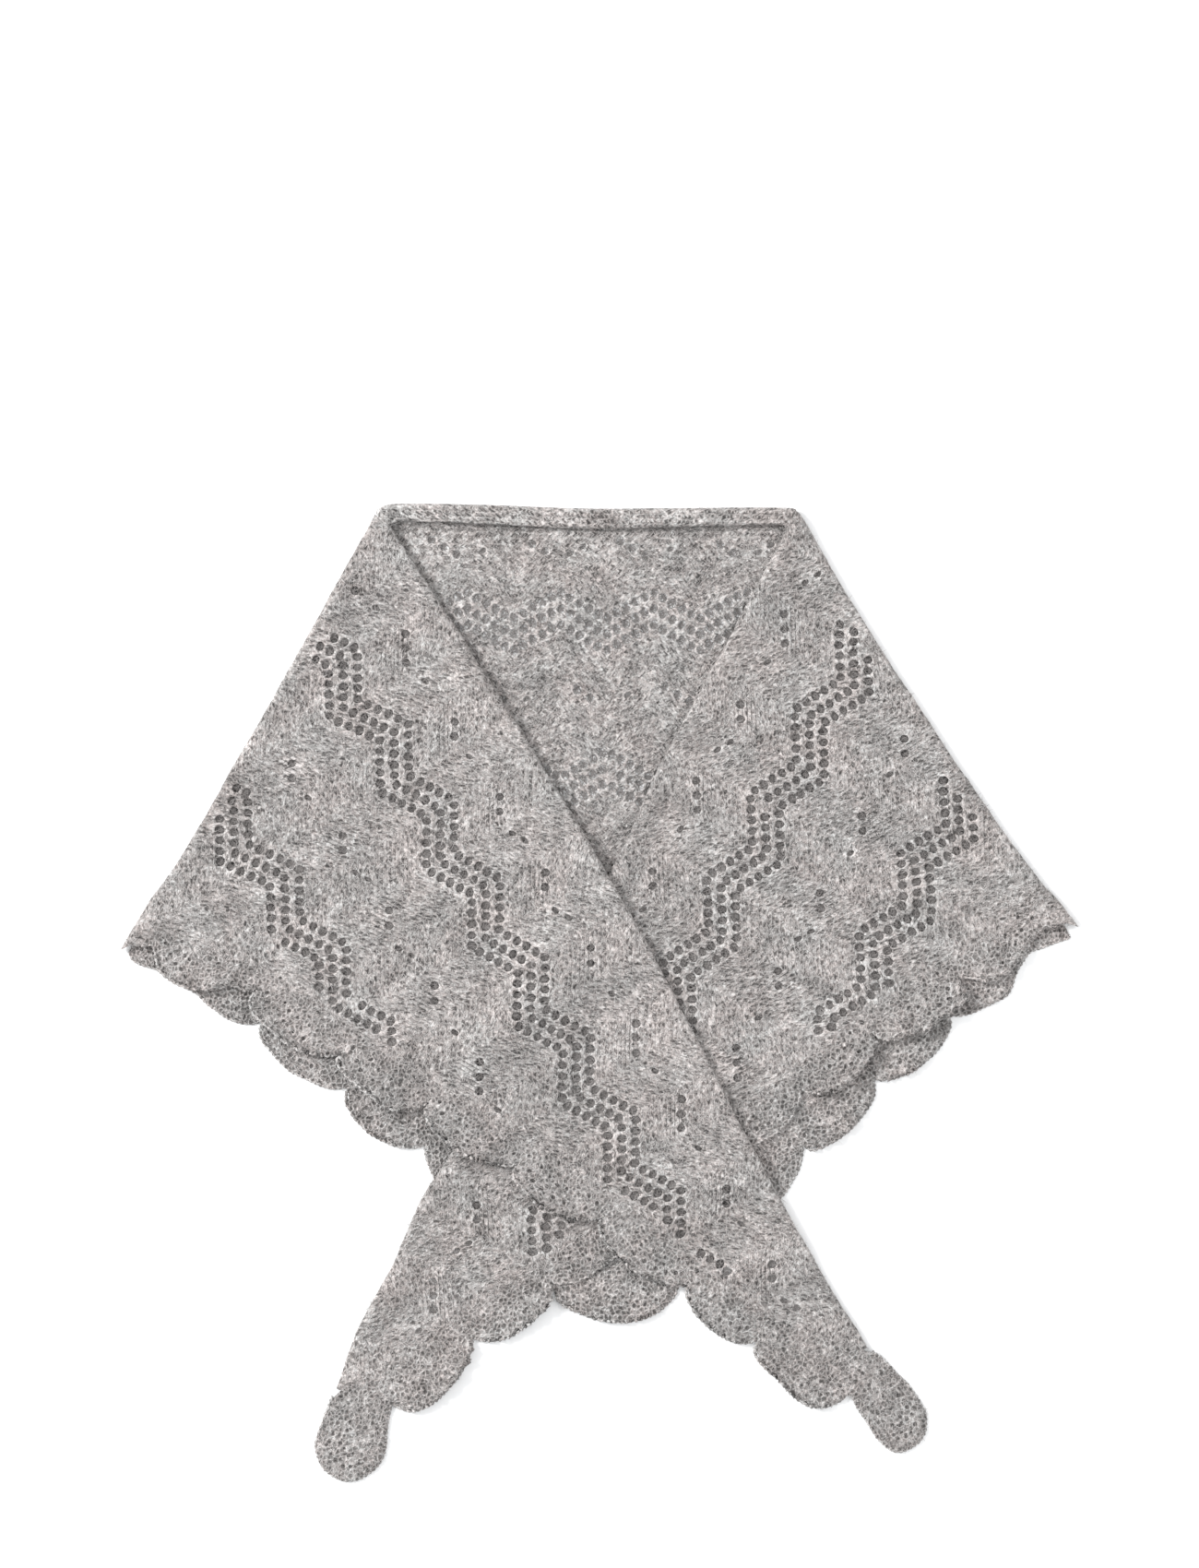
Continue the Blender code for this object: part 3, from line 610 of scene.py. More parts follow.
class Sheet:
    """A cloth shell in the making. Each point has a place in the flat cut, an upper and a lower
    place, how near it is to an eyelet's rim, and each face says whether it is border."""

    def __init__(self):
        self.flat, self.upper, self.lower, self.rim = [], [], [], []
        self.faces, self.is_border = [], []
        self.count = 0

    def add_points(self, flat, upper, lower, rim):
        for store, rows in zip((self.flat, self.upper, self.lower, self.rim), (flat, upper, lower, rim)):
            store.append(np.asarray(rows, float))
        self.count += len(flat)
        return np.arange(self.count - len(flat), self.count)

    def add_pattern(self, outline, free_edge, eyelets, place, hidden, border):
        """Fills the flat outline with triangles, finer where it shows, and gives the outline's points."""
        loops = [outline, *eyelets]
        fixed = np.vstack(loops)
        edges, first = [], 0
        for loop in loops:
            edges += [(first + i, first + (i + 1) % len(loop)) for i in range(len(loop))]
            first += len(loop)
        rings = []
        for eyelet in eyelets:
            out = eyelet - eyelet.mean(axis=0)
            rings.append(eyelet + out / np.linalg.norm(out, axis=1)[:, None] * RIM_RING)
        rings = np.vstack(rings)
        low, high = outline.min(axis=0), outline.max(axis=0)
        free = lattice(low, high, FINE)
        rough = lattice(low, high, COARSE)
        free = np.vstack([free[~hidden(free)], rough[hidden(rough)]])
        free = free[inside_of(outline, free)]
        free = free[nearest_on(closed(outline), free)[0] > 0.6 * FINE]
        free = free[~near_any(free, eyelets, RIM_RING + 0.35 * FINE)]
        rings = rings[inside_of(outline, rings)]
        rings = rings[~near_any(rings, eyelets, 0.5 * RIM_RING)]
        given = np.vstack([fixed, rings, free])
        corners = [Vector(point) for point in given]
        points, _, faces, origins, _, _ = delaunay_2d_cdt(corners, edges, [], 0, CUT_TOLERANCE)
        points = np.array([tuple(point) for point in points])
        faces = np.array([list(face) for face in faces])
        centres = points[faces].mean(axis=1)
        kept = inside_of(outline, centres)
        for eyelet in eyelets:
            near = np.flatnonzero(np.abs(centres - eyelet.mean(axis=0)).max(axis=1) < EYELET_LENGTH)
            kept[near] &= ~inside_of(eyelet, centres[near])
        faces = faces[kept]
        ahead = points[faces[:, 1]] - points[faces[:, 0]]
        aside = points[faces[:, 2]] - points[faces[:, 0]]
        turned = ahead[:, 0] * aside[:, 1] - ahead[:, 1] * aside[:, 0] < 0
        faces[turned] = faces[turned][:, ::-1]
        used, faces = np.unique(faces, return_inverse=True)
        faces = faces.reshape(-1, 3)
        numbers = np.full(len(points), -1)
        numbers[used] = np.arange(len(used))
        points = points[used]
        to_eyelet = eyelet_distance(points, eyelets)
        to_hem = nearest_on(free_edge, points)[0]
        thin = np.sqrt(1 - (1 - np.clip(np.minimum(to_eyelet, to_hem) / RIM_RING, 0.05, 1)) ** 2)
        shift, middle, raised = place(points)
        cord = 0.45 * np.exp(-(((to_eyelet - RIM_RING) / 0.8) ** 2))
        at = points + shift
        top = middle + thin * SHELL / 2 + np.where(to_eyelet > 0.4, raised + cord, 0)
        upper = np.column_stack([at, top])
        lower = np.column_stack([at, middle - thin * SHELL / 2])
        # rim: weight of the painted highlight along each eyelet's rim
        new = self.add_points(points, upper, lower, np.exp(-((to_eyelet / 1.5) ** 2)))
        self.faces.append(new[faces])
        self.is_border.append(inside_of(border.area, points[faces].mean(axis=1)))
        came_from = {origin: row for row, group in enumerate(origins) for origin in group}
        return new[numbers[[came_from[i] for i in range(len(outline))]]]

    def add_strip(self, first_row, rows):
        """Joins rows of (flat, upper, lower) places to a row of points that exists."""
        last = np.asarray(first_row)
        for flat, upper, lower in rows:
            new = self.add_points(flat, upper, lower, np.zeros(len(flat)))
            pairs = np.vstack([
                np.column_stack([last[:-1], last[1:], new[:-1]]),
                np.column_stack([last[1:], new[1:], new[:-1]]),
            ])
            self.faces.append(pairs)
            self.is_border.append(np.zeros(len(pairs), bool))
            last = new

    def add_turned(self, numbers, rows):
        """Adds a turned edge on the outer side of a row of points, whichever way that row runs."""
        upper = np.vstack(self.upper)
        start, end = upper[numbers[0], :2], upper[numbers[1], :2]
        out, ahead = rows[0][1][0, :2] - start, end - start
        if ahead[0] * out[1] - ahead[1] * out[0] > 0:
            self.add_strip(numbers, rows)
        else:
            self.add_strip(numbers[::-1], [tuple(part[::-1] for part in row) for row in rows])

    def make_object(self, name, materials, stitches, upper_side, lower_side, ribbed):
        """Closes the shell round its rims. Materials are the knit side, the purl side, the border."""
        flat, upper, lower = np.vstack(self.flat), np.vstack(self.upper), np.vstack(self.lower)
        rim, faces, border = np.concatenate(self.rim), np.vstack(self.faces), np.concatenate(self.is_border)
        count = len(flat)
        sides = np.vstack([faces[:, [0, 1]], faces[:, [1, 2]], faces[:, [2, 0]]])
        owner = np.tile(border, 3)
        codes = sides[:, 0] * count + sides[:, 1]
        open_side = ~np.isin(codes, sides[:, 1] * count + sides[:, 0])
        a, b = sides[open_side].T
        walls = np.vstack([np.column_stack([b, a, a + count]), np.column_stack([b, a + count, b + count])])
        wall_border = np.tile(owner[open_side], 2)
        every = np.vstack([faces, faces[:, ::-1] + count, walls])
        is_border = np.concatenate([border, border, wall_border])
        side = np.concatenate([
            np.full(len(faces), upper_side), np.full(len(faces), lower_side), np.full(len(walls), upper_side),
        ])
        made = new_object(name, np.vstack([upper, lower]), every, materials)
        mesh = made.data
        mesh.shade_smooth()
        mesh.polygons.foreach_set("material_index", np.where(is_border, 2, side).astype(np.int32))
        body, hem = stitches(flat, False), stitches(flat, True)
        flat_every = every % count
        set_uv(mesh, "stitch", np.where(is_border[:, None, None], hem[flat_every], body[flat_every]))
        # The rim weight drives the painted highlight in the material
        set_values(mesh, "rim", np.tile(rim, 2))
        set_values(mesh, "rib", np.tile(ribbed(flat), 2))
        self.upper_mesh = (upper, faces)
        return made


def lattice(low, high, spacing):
    rows = np.arange(low[1], high[1], spacing * math.sqrt(3) / 2)
    made = []
    for number, y in enumerate(rows):
        x = np.arange(low[0] + (spacing / 2 if number % 2 else 0), high[0], spacing)
        made.append(np.column_stack([x, np.full(len(x), y)]))
    return np.vstack(made)


def near_any(points, eyelets, margin):
    """Whether a point lies inside an eyelet or within this margin of its rim."""
    found = np.zeros(len(points), bool)
    for eyelet in eyelets:
        near = np.flatnonzero(np.abs(points - eyelet.mean(axis=0)).max(axis=1) < 9)
        if len(near):
            close = nearest_on(closed(eyelet), points[near])[0] < margin
            found[near] |= close | inside_of(eyelet, points[near])
    return found


def turned_rows(inner, outer, tops, bottoms):
    """Rows of places for an edge that turns down and back under itself."""
    rows = []
    reach = np.linalg.norm(outer - inner, axis=1)[:, None]
    out = (outer - inner) / reach
    middle, half = (tops + bottoms) / 2, (tops - bottoms) / 2
    for step in range(1, TURN_STEPS + 1):
        angle = math.pi * step / TURN_STEPS
        arc = angle * (reach + half[:, None]) / 2
        flat = inner + out * arc
        at = inner + (outer - inner) * math.sin(angle)
        at_inside = inner + out * (reach - SHELL) * math.sin(angle)
        rows.append((
            flat,
            np.column_stack([at, middle + half * math.cos(angle)]),
            np.column_stack([at_inside, middle + (half - SHELL) * math.cos(angle)]),
        ))
    return rows


def neck_rows(base, line):
    """Rows of the neck roll: along the surface, up round the outer line, and back to a tucked rim."""
    half = NECK_RISE / 2
    tuck = half - NECK_TUCK_GAP
    profile = [
        (half * (1 - math.sin(a)), half * (1 - math.cos(a)), math.sin(a), math.cos(a))
        for a in np.linspace(0, math.pi, 11)
    ]
    profile += [(inset, NECK_RISE, 0, -1) for inset in (5.5, 7.3, 9.1)]
    profile += [
        (NECK_TUCK + tuck * math.sin(a), NECK_RISE - tuck * (1 - math.cos(a)), -math.sin(a), -math.cos(a))
        for a in np.linspace(0, NECK_TUCK_TURN, 7)
    ]
    rows = []
    back = (base - line) / np.linalg.norm(base - line, axis=1)[:, None]
    gone, last = 0, None
    for inset, rise, aside, up in profile:
        here = np.array([inset, rise])
        gone += 0 if last is None else np.linalg.norm(here - last)
        last = here
        wave = 0.35 * soft_noise(np.column_stack([line[:, 0], np.full(len(line), gone)]), 9, 51)
        outside = np.column_stack([line + back * inset, np.maximum(rise + wave * min(1, rise / 3), 0)])
        within = np.column_stack([line + back * (inset + aside * SHELL), outside[:, 2] + up * SHELL])
        rows.append((line - back * (gone + 4), within, outside))
    return rows


def edging_stitches(border, points):
    """Courses that follow the scalloped line."""
    to_rim, _, _, along = nearest_on(border.outer, points)
    return np.column_stack([along / WALE, to_rim / COURSE])


def rising_strength(s, t, strings, lean):
    """How strongly the wales are drawn together beside the rising stretches of a single string."""
    total = np.zeros(len(s))
    for depth, start, end, rising, repeat in strings:
        height, climbs = zigzag(s, rising, repeat)
        phase = ((s - rising) / repeat + 0.25) % 1
        beside = (t - depth - height) * lean
        shape = ease((beside + 1) / 4) * (1 - ease((beside - 9) / 5))
        total += climbs * shape * np.sin(np.pi * np.clip(phase / 0.5, 0, 1)) * (s > start) * (s < end)
    return np.clip(total, 0, 1)


def make_wing(name, wing, bands, strings, hidden, seed, materials):
    sheet = Sheet()
    outline = np.vstack([wing.inner_fold, wing.hem[:-1], wing.inner_edge[:0:-1]])
    origin = wing.edge[0]
    sagging = wing.fold if wing.fold[-1, 0] < 0 else None
    eyelets = lace(origin, wing.along, wing.across, bands, strings, sagging, seed)
    inner = np.vstack([wing.inner_fold, wing.border.seam, wing.inner_edge[:0:-1]])
    eyelets = clear_of(eyelets, inner, 5.0)
    eyelets += edging_eyelets(wing.border, seed + 3)
    eyelets = clear_of(eyelets, outline, 3.6)
    eyelets = [eyelet for eyelet in eyelets if not hidden(eyelet).any()]

    def place(points):
        shift, lift = wing.border.ruffle(points)
        return shift, wing.height(points) + lift + SHELL_SINK + SHELL / 2, relief(points, seed)

    sheet.eyelets, sheet.place = eyelets, place
    numbers = sheet.add_pattern(outline, wing.hem, eyelets, place, hidden, wing.border)
    upper = np.vstack(sheet.upper)
    folds, edges = len(wing.inner_fold), len(wing.inner_edge)
    fold_numbers = numbers[:folds]
    edge_numbers = np.concatenate([numbers[:1], numbers[:-edges:-1]])
    tops, bottoms = upper[fold_numbers, 2], np.zeros(folds)
    sheet.add_turned(fold_numbers, turned_rows(wing.inner_fold, wing.outer_fold, tops, bottoms))
    tops, bottoms = upper[edge_numbers, 2], wing.resting(wing.inner_edge)
    sheet.add_turned(edge_numbers, turned_rows(wing.inner_edge, wing.outer_edge, tops, bottoms))

    def stitches(points, on_border):
        if on_border:
            return edging_stitches(wing.border, points)
        s, t = wing.knit_place(points).T
        rise, _ = zigzag(s, bands[0][3], bands[0][4])
        return np.column_stack([(t - rise) / WALE, s / COURSE])

    def ribbed(points):
        s, t = wing.knit_place(points).T
        return rising_strength(s, t, strings, 1)

    return sheet, sheet.make_object(name, materials, stitches, 0, 1, ribbed)


def make_back(name, left, right, border, hidden, materials):
    sides = []
    for wing in (left, right):
        length = lengths_along(wing.fold)[-1]
        line = resample(wing.fold, np.linspace(BACK_TOP, length - BACK_CORNER, SIDE_STATIONS))
        sides.append(line + (FOLD_RADIUS + SEAM_GAP) * inward_normals(line, wing.inside))
    neck = smooth_curve(NECK_LINE, CURVE_STEPS)
    base = np.linspace(*NECK_BASE, NECK_STATIONS)
    outline = np.vstack([sides[0][::-1], LEFT_EAR, base, RIGHT_EAR, sides[1], border.outer[::-1]])
    eyelets = lace(
        np.array([0.0, LONG_EDGE_Y]), np.array([1.0, 0.0]), np.array([0.0, -1.0]),
        BACK_BANDS, BACK_STRINGS, None, 31,
    )
    eyelets = clear_of(eyelets, outline, 5.0) + edging_eyelets(border, 33)
    eyelets = clear_of(eyelets, outline, 3.6)
    eyelets = [eyelet for eyelet in eyelets if not hidden(eyelet).any()]

    def place(points):
        shift, lift = border.ruffle(points)
        return shift, lift + SHELL / 2, relief(points, 35)

    sheet = Sheet()
    sheet.eyelets, sheet.place = eyelets, place
    numbers = sheet.add_pattern(outline, border.outer, eyelets, place, hidden, border)
    first = len(sides[0]) + 1
    line = resample(neck, np.linspace(0, lengths_along(neck)[-1], NECK_STATIONS))
    sheet.add_turned(numbers[first:first + NECK_STATIONS], neck_rows(base, line))

    def stitches(points, on_border):
        if on_border:
            return edging_stitches(border, points)
        rise, _ = zigzag(points[:, 0], BACK_BANDS[0][3], BACK_BANDS[0][4])
        fade = ease((LONG_EDGE_Y - points[:, 1] - 20) / 30)
        depth = LONG_EDGE_Y - points[:, 1] - 0.6 * rise * fade
        return np.column_stack([depth / WALE, points[:, 0] / COURSE])

    return sheet, sheet.make_object(name, materials, stitches, 1, 0, lambda points: np.zeros(len(points)))


def make_cast_off(name, hem, place, material, seed):
    """The cast-off edge: a small braided cord along the scalloped line."""
    length = lengths_along(hem)[-1]
    places = np.arange(0, length, CORD_STEP)
    count = len(places)
    line = resample(hem, places)
    shift, middle, _ = place(line)
    ahead = np.gradient(line + shift, axis=0)
    ahead /= np.maximum(np.linalg.norm(ahead, axis=1), TINY)[:, None]
    aside = np.column_stack([-ahead[:, 1], ahead[:, 0]])
    beat = np.pi * places / WALE
    uneven = soft_noise(np.column_stack([places, np.zeros(count)]), 7, seed)
    radius = CORD_RADIUS + CORD_SWELL * np.abs(np.sin(beat)) + CORD_UNEVEN * uneven
    sway = CORD_SWAY * np.sin(beat * 2)
    rings = []
    for angle in np.linspace(0, 2 * np.pi, CORD_SIDES, endpoint=False):
        at = line + shift + aside * (sway + radius * math.cos(angle))[:, None]
        rings.append(np.column_stack([at, np.maximum(middle + radius * math.sin(angle), FLOOR_GAP)]))
    points = np.stack(rings, axis=1).reshape(-1, 3)
    ring, side = np.meshgrid(np.arange(count - 1), np.arange(CORD_SIDES), indexing="ij")
    start, end, after = ring * CORD_SIDES, (ring + 1) * CORD_SIDES, (side + 1) % CORD_SIDES
    faces = np.stack([start + side, start + after, end + after, end + side], axis=-1).reshape(-1, 4)
    made = new_object(name, points, faces, [material])
    made.data.shade_smooth()
    turn = np.tile(np.arange(CORD_SIDES) / CORD_SIDES, count)
    set_uv(made.data, "stitch", np.column_stack([places.repeat(CORD_SIDES) / WALE, turn])[faces])
    # The whole cord carries the rim's painted highlight
    set_values(made.data, "rim", np.full(len(points), CORD_PAINTED_HIGHLIGHT))
    return made


def loose_fibres(sheet, count, shows, rng):
    """Fibres that stand and lie on the upper face: start, middle, end and half width of each."""
    upper, faces = sheet.upper_mesh
    faces = faces[shows(upper[faces].mean(axis=1)[:, :2])]
    a, b, c = (upper[faces[:, i]] for i in range(3))
    cross = np.cross(b - a, c - a)
    size = np.linalg.norm(cross, axis=1)
    chosen = rng.choice(len(faces), count, p=size / size.sum())
    p, q = rng.random((2, count, 1))
    p, q = np.where(p + q > 1, 1 - p, p), np.where(p + q > 1, 1 - q, q)
    start = a[chosen] + p * (b[chosen] - a[chosen]) + q * (c[chosen] - a[chosen])
    normal = cross[chosen] / size[chosen][:, None]
    angle = rng.uniform(0, 2 * np.pi, count)
    flat = np.column_stack([np.cos(angle), np.sin(angle), np.zeros(count)])
    flat -= normal * (flat * normal).sum(axis=1)[:, None]
    aside = np.cross(normal, flat)
    bend = aside * rng.uniform(-0.5, 0.5, (count, 1))
    length = np.clip(rng.lognormal(1.15, 0.45, (count, 1)), *FIBRE_LENGTHS)
    rise = normal * rng.uniform(0.25, 0.8, (count, 1))
    middle = start + flat * length * 0.5 + bend * length * 0.25 + rise
    end = start + (flat + bend) * length * 0.95 + normal * rng.uniform(-0.2, 0.9, (count, 1))
    return start, middle, end, aside * rng.uniform(*LOOSE_HALF_WIDTH, (count, 1))


def crossing_fibres(sheet, counts, rng):
    """Fibres that cross the eyelets, as the brushed yarn's haze does; their dark tone is painted shade in the
    holes.
    """
    starts, ends = [], []
    for eyelet, count in zip(sheet.eyelets, counts):
        centre = eyelet.mean(axis=0)
        first = rng.integers(0, len(eyelet), count)
        second = (first + len(eyelet) // 2 + rng.integers(-2, 3, count)) % len(eyelet)
        reach = rng.uniform(1.0, 1.25, (2, count, 1))
        starts.append(centre + (eyelet[first] - centre) * reach[0])
        ends.append(centre + (eyelet[second] - centre) * reach[1])
    start, end = np.vstack(starts), np.vstack(ends)
    shift, level, _ = sheet.place(0.5 * (start + end))
    count = len(start)
    height = level + rng.uniform(-0.45, 0.35, count)
    start, end = np.column_stack([start + shift, height]), np.column_stack([end + shift, height])
    flat = end - start
    aside = np.cross(np.array([0, 0, 1.0]), flat)
    aside /= np.maximum(np.linalg.norm(aside, axis=1), TINY)[:, None]
    middle = 0.5 * (start + end) + aside * rng.uniform(-1.2, 1.2, (count, 1))
    return start, middle, end, aside * rng.uniform(*CROSSING_HALF_WIDTH, (count, 1))


def make_fuzz(name, sheet, count, shows, crossings, material, seed):
    """The yarn's loose fibres as one joined mesh of slender blades."""
    rng = np.random.default_rng(seed)
    loose, crossing = loose_fibres(sheet, count, shows, rng), crossing_fibres(sheet, crossings, rng)
    start, middle, end, width = (np.vstack(pair) for pair in zip(loose, crossing))
    # The crossing fibres' dark tone is painted shade inside the eyelets
    light = np.concatenate([
        rng.uniform(*LOOSE_TONE, len(loose[0])), rng.uniform(*CROSSING_SHADE_TONE, len(crossing[0])),
    ])
    points = np.stack([start - width, start + width, middle - width, middle + width, end], axis=1)
    points[..., 2] = np.maximum(points[..., 2], FLOOR_GAP)
    count = len(start)
    base = np.arange(count)[:, None] * 5
    blades = np.concatenate([base + [0, 1, 3], base + [0, 3, 2], base + [2, 3, 4]], axis=1).reshape(-1, 3)
    made = new_object(name, points.reshape(-1, 3), blades, [material])
    along = np.tile([0, 0, 0.5, 0, 0.5, 0.5, 0.5, 0.5, 1], count)
    set_uv(made.data, "fibre", np.column_stack([light.repeat(9), along]))
    return made


class Graph:
    """A material's nodes, written as sums."""

    def __init__(self, name, roughness, sheen):
        self.material = bpy.data.materials.new(name)
        self.material.use_nodes = True
        self.tree = self.material.node_tree
        self.shader = self.tree.nodes["Principled BSDF"]
        self.shader.inputs["Roughness"].default_value = roughness
        self.shader.inputs["Specular IOR Level"].default_value = 0.2
        self.shader.inputs["Sheen Weight"].default_value = sheen
        self.shader.inputs["Sheen Roughness"].default_value = 0.6
        self.shader.inputs["Sheen Tint"].default_value = (1, 0.98, 0.96, 1)

    def node(self, kind, **settings):
        made = self.tree.nodes.new(kind)
        for key, value in settings.items():
            setattr(made, key, value)
        return made

    def feed(self, socket, value):
        if isinstance(value, bpy.types.NodeSocket):
            self.tree.links.new(value, socket)
        else:
            socket.default_value = value

    def math(self, operation, *values, clamp=False):
        made = self.node("ShaderNodeMath", operation=operation, use_clamp=clamp)
        for socket, value in zip(made.inputs, values):
            self.feed(socket, value)
        return made.outputs[0]

    def uv(self, name):
        split = self.node("ShaderNodeSeparateXYZ")
        self.tree.links.new(self.node("ShaderNodeUVMap", uv_map=name).outputs[0], split.inputs[0])
        return split.outputs[0], split.outputs[1]

    def attribute(self, name):
        return self.node("ShaderNodeAttribute", attribute_name=name).outputs["Fac"]

    def combine(self, x, y, z=0.0):
        made = self.node("ShaderNodeCombineXYZ")
        for socket, value in zip(made.inputs, (x, y, z)):
            self.feed(socket, value)
        return made.outputs[0]

    def place(self):
        return self.node("ShaderNodeTexCoord").outputs["Object"]

    def noise(self, vector, scale, detail=2.0, roughness=0.5):
        made = self.node("ShaderNodeTexNoise")
        self.feed(made.inputs["Vector"], vector)
        made.inputs["Scale"].default_value = scale
        made.inputs["Detail"].default_value = detail
        made.inputs["Roughness"].default_value = roughness
        return made.outputs[0]

    def ramp(self, value, stops):
        made = self.node("ShaderNodeValToRGB")
        points = made.color_ramp.elements
        while len(points) < len(stops):
            points.new(0.5)
        for point, (at, colour) in zip(points, stops):
            point.position = at
            point.color = (*colour, 1)
        self.feed(made.inputs[0], value)
        return made.outputs[0]

    def multiply(self, colour, tint):
        made = self.node("ShaderNodeMix", data_type="RGBA", blend_type="MULTIPLY")
        made.inputs["Factor"].default_value = 1.0
        colours = [socket for socket in made.inputs if socket.type == "RGBA"]
        self.feed(colours[0], colour)
        self.feed(colours[1], tint)
        return next(socket for socket in made.outputs if socket.type == "RGBA")

    def finish(self, colour, height, depth):
        self.feed(self.shader.inputs["Base Color"], colour)
        bump = self.node("ShaderNodeBump")
        bump.inputs["Strength"].default_value = 1.0
        bump.inputs["Distance"].default_value = depth
        self.feed(bump.inputs["Height"], height)
        self.tree.links.new(bump.outputs[0], self.shader.inputs["Normal"])
        return self.material


# Melange yarn from its darkest to its lightest fibres, and its two tints; the dark end also gives the painted
# shade between strands and across the eyelets
YARN = [
    (0.0, (0.036, 0.033, 0.0315)), (0.25, (0.108, 0.1, 0.0965)), (0.5, (0.222, 0.206, 0.2)),
    (0.75, (0.385, 0.362, 0.353)), (1.0, (0.6, 0.575, 0.565)),
]
TINTS = [(0.38, (0.965, 1.0, 1.0)), (0.62, (1.0, 0.955, 0.94))]


def yarn_colour(graph, net, cell, lightness):
    """The yarn's colour: clouds, melange and flecks, lighter on the strands, with painted shade between them.
    """
    place = graph.place()
    # painted shade: the net darkens the colour in the gaps between strands
    total = graph.math("MULTIPLY_ADD", net, NET_PAINTED_SHADE, lightness - 0.5 * NET_PAINTED_SHADE)
    for scale, gain in ((22.0, 0.34), (70.0, 0.56), (330.0, 0.8), (900.0, 0.9)):
        uneven = graph.math("SUBTRACT", graph.noise(place, scale), 0.5)
        total = graph.math("MULTIPLY_ADD", uneven, gain, total)
    total = graph.math("MULTIPLY_ADD", graph.math("SUBTRACT", cell, 0.5), 0.2, total)
    broad = graph.math("MULTIPLY", graph.noise(place, 34.0), 0.55)
    tint = graph.math("MULTIPLY_ADD", graph.noise(place, 420.0, 1.0), 0.45, broad)
    return graph.multiply(graph.ramp(total, YARN), graph.ramp(tint, TINTS))


def warped(graph, u, v, amount):
    place = graph.place()
    shift = graph.math("SUBTRACT", graph.noise(place, 60.0, 3.0, 0.6), 0.5)
    other = graph.math("SUBTRACT", graph.noise(place, 71.0, 3.0, 0.6), 0.5)
    return graph.math("MULTIPLY_ADD", shift, amount, u), graph.math("MULTIPLY_ADD", other, amount, v)


def net_of(graph, vector, scale, randomness, low, high):
    """Strands between the cells of a loose net, from nought in the gaps to one, and a value a cell."""
    edges = graph.node("ShaderNodeTexVoronoi", feature="DISTANCE_TO_EDGE")
    cells = graph.node("ShaderNodeTexVoronoi", feature="F1")
    for made in (edges, cells):
        graph.feed(made.inputs["Vector"], vector)
        made.inputs["Scale"].default_value = scale
        made.inputs["Randomness"].default_value = randomness
    spread = 1 / (high - low)
    gap = graph.math("MULTIPLY_ADD", edges.outputs["Distance"], spread, -low * spread, clamp=True)
    split = graph.node("ShaderNodeSeparateColor")
    graph.feed(split.inputs[0], cells.outputs["Color"])
    return graph.math("SUBTRACT", 1.0, gap), split.outputs[0]


def knitted(graph, net, cell, rim, lightness, grain, depth):
    """Finishes a knitted face from its net of strands, with a painted highlight along the eyelets' rims that
    also lifts the bump.
    """
    # painted highlight: the rim weight lightens the colour and lifts the bump
    net = graph.math("MULTIPLY_ADD", graph.attribute("rim"), rim, net)
    height = graph.math("MULTIPLY_ADD", graph.noise(graph.place(), 1500.0), grain, net)
    return graph.finish(yarn_colour(graph, net, cell, lightness), height, depth)


def knit_side(name):
    """Stockinette's face: columns of V stitches whose light legs surround small gaps darkened with painted
    shade.
    """
    graph = Graph(name, 0.92, 0.2)
    u, v = warped(graph, *graph.uv("stitch"), 0.8)
    rib = graph.attribute("rib")
    centred = graph.math("SUBTRACT", graph.math("FRACT", u), 0.5)
    spread = graph.math("MULTIPLY", graph.math("ABSOLUTE", centred), 2.0)
    slant = graph.math("MULTIPLY_ADD", rib, -0.4, 0.6)
    course = graph.math("SUBTRACT", v, graph.math("MULTIPLY", spread, slant))
    net, cell = net_of(graph, graph.combine(u, course), 1.0, 0.7, 0.05, 0.36)
    depth = graph.math("MULTIPLY_ADD", rib, 0.7, 0.25)
    # The furrow between wales lowers the bump and darkens the colour as painted shade, deeper beside the
    # rising stretches
    furrow_relief_and_shade = graph.math("MULTIPLY", graph.math("POWER", spread, 6.0), depth)
    return knitted(graph, graph.math("SUBTRACT", net, furrow_relief_and_shade), cell, 0.3, 0.475, 0.35, 0.001)


def purl_side(name):
    """Stockinette's back: rows of small interlocked arcs."""
    graph = Graph(name, 0.92, 0.2)
    u, v = warped(graph, *graph.uv("stitch"), 0.8)
    wave = graph.math("SINE", graph.math("MULTIPLY", u, 2 * math.pi))
    course = graph.math("MULTIPLY_ADD", wave, 0.3, v)
    vector = graph.combine(graph.math("MULTIPLY", u, 0.85), graph.math("MULTIPLY", course, 1.25))
    net, cell = net_of(graph, vector, 1.0, 0.6, 0.04, 0.38)
    # The gaps between the arcs are darkened in the colour as painted shade, with the bump for their relief
    return knitted(graph, net, cell, 0.35, 0.465, 0.4, 0.001)


def border_side(name):
    """The border's open, looped knit: light strands round small gaps darkened with painted shade."""
    graph = Graph(name, 0.92, 0.2)
    net, cell = net_of(graph, graph.place(), 330.0, 0.95, 0.02, 0.36)
    _, v = warped(graph, *graph.uv("stitch"), 1.8)
    rows = graph.math("SINE", graph.math("MULTIPLY", v, 1.6 * math.pi))
    net = graph.math("MULTIPLY_ADD", rows, 0.12, net)
    return knitted(graph, net, cell, 0.3, 0.48, 0.4, 0.0013)


def fibre_material(name):
    graph = Graph(name, 0.75, 0.15)
    pick, _ = graph.uv("fibre")
    tone = graph.math("MULTIPLY_ADD", pick, 0.7, 0.22)
    height = graph.noise(graph.place(), 900.0, 1.0)
    return graph.finish(graph.ramp(tone, YARN), height, 0.0002)


# Floor, half its side in millimetres, and the lights: name, place and side in metres, watts
FLOOR_HALF = 6000.0
SKY_STRENGTH = 1.0
LIGHTS = [("key", (-3.4, 1.6, 2.4), 1.2, 230), ("fill", (3.0, 0.2, 3.4), 2.4, 40)]
LIT_PLACE = (0, 0.05, 0)


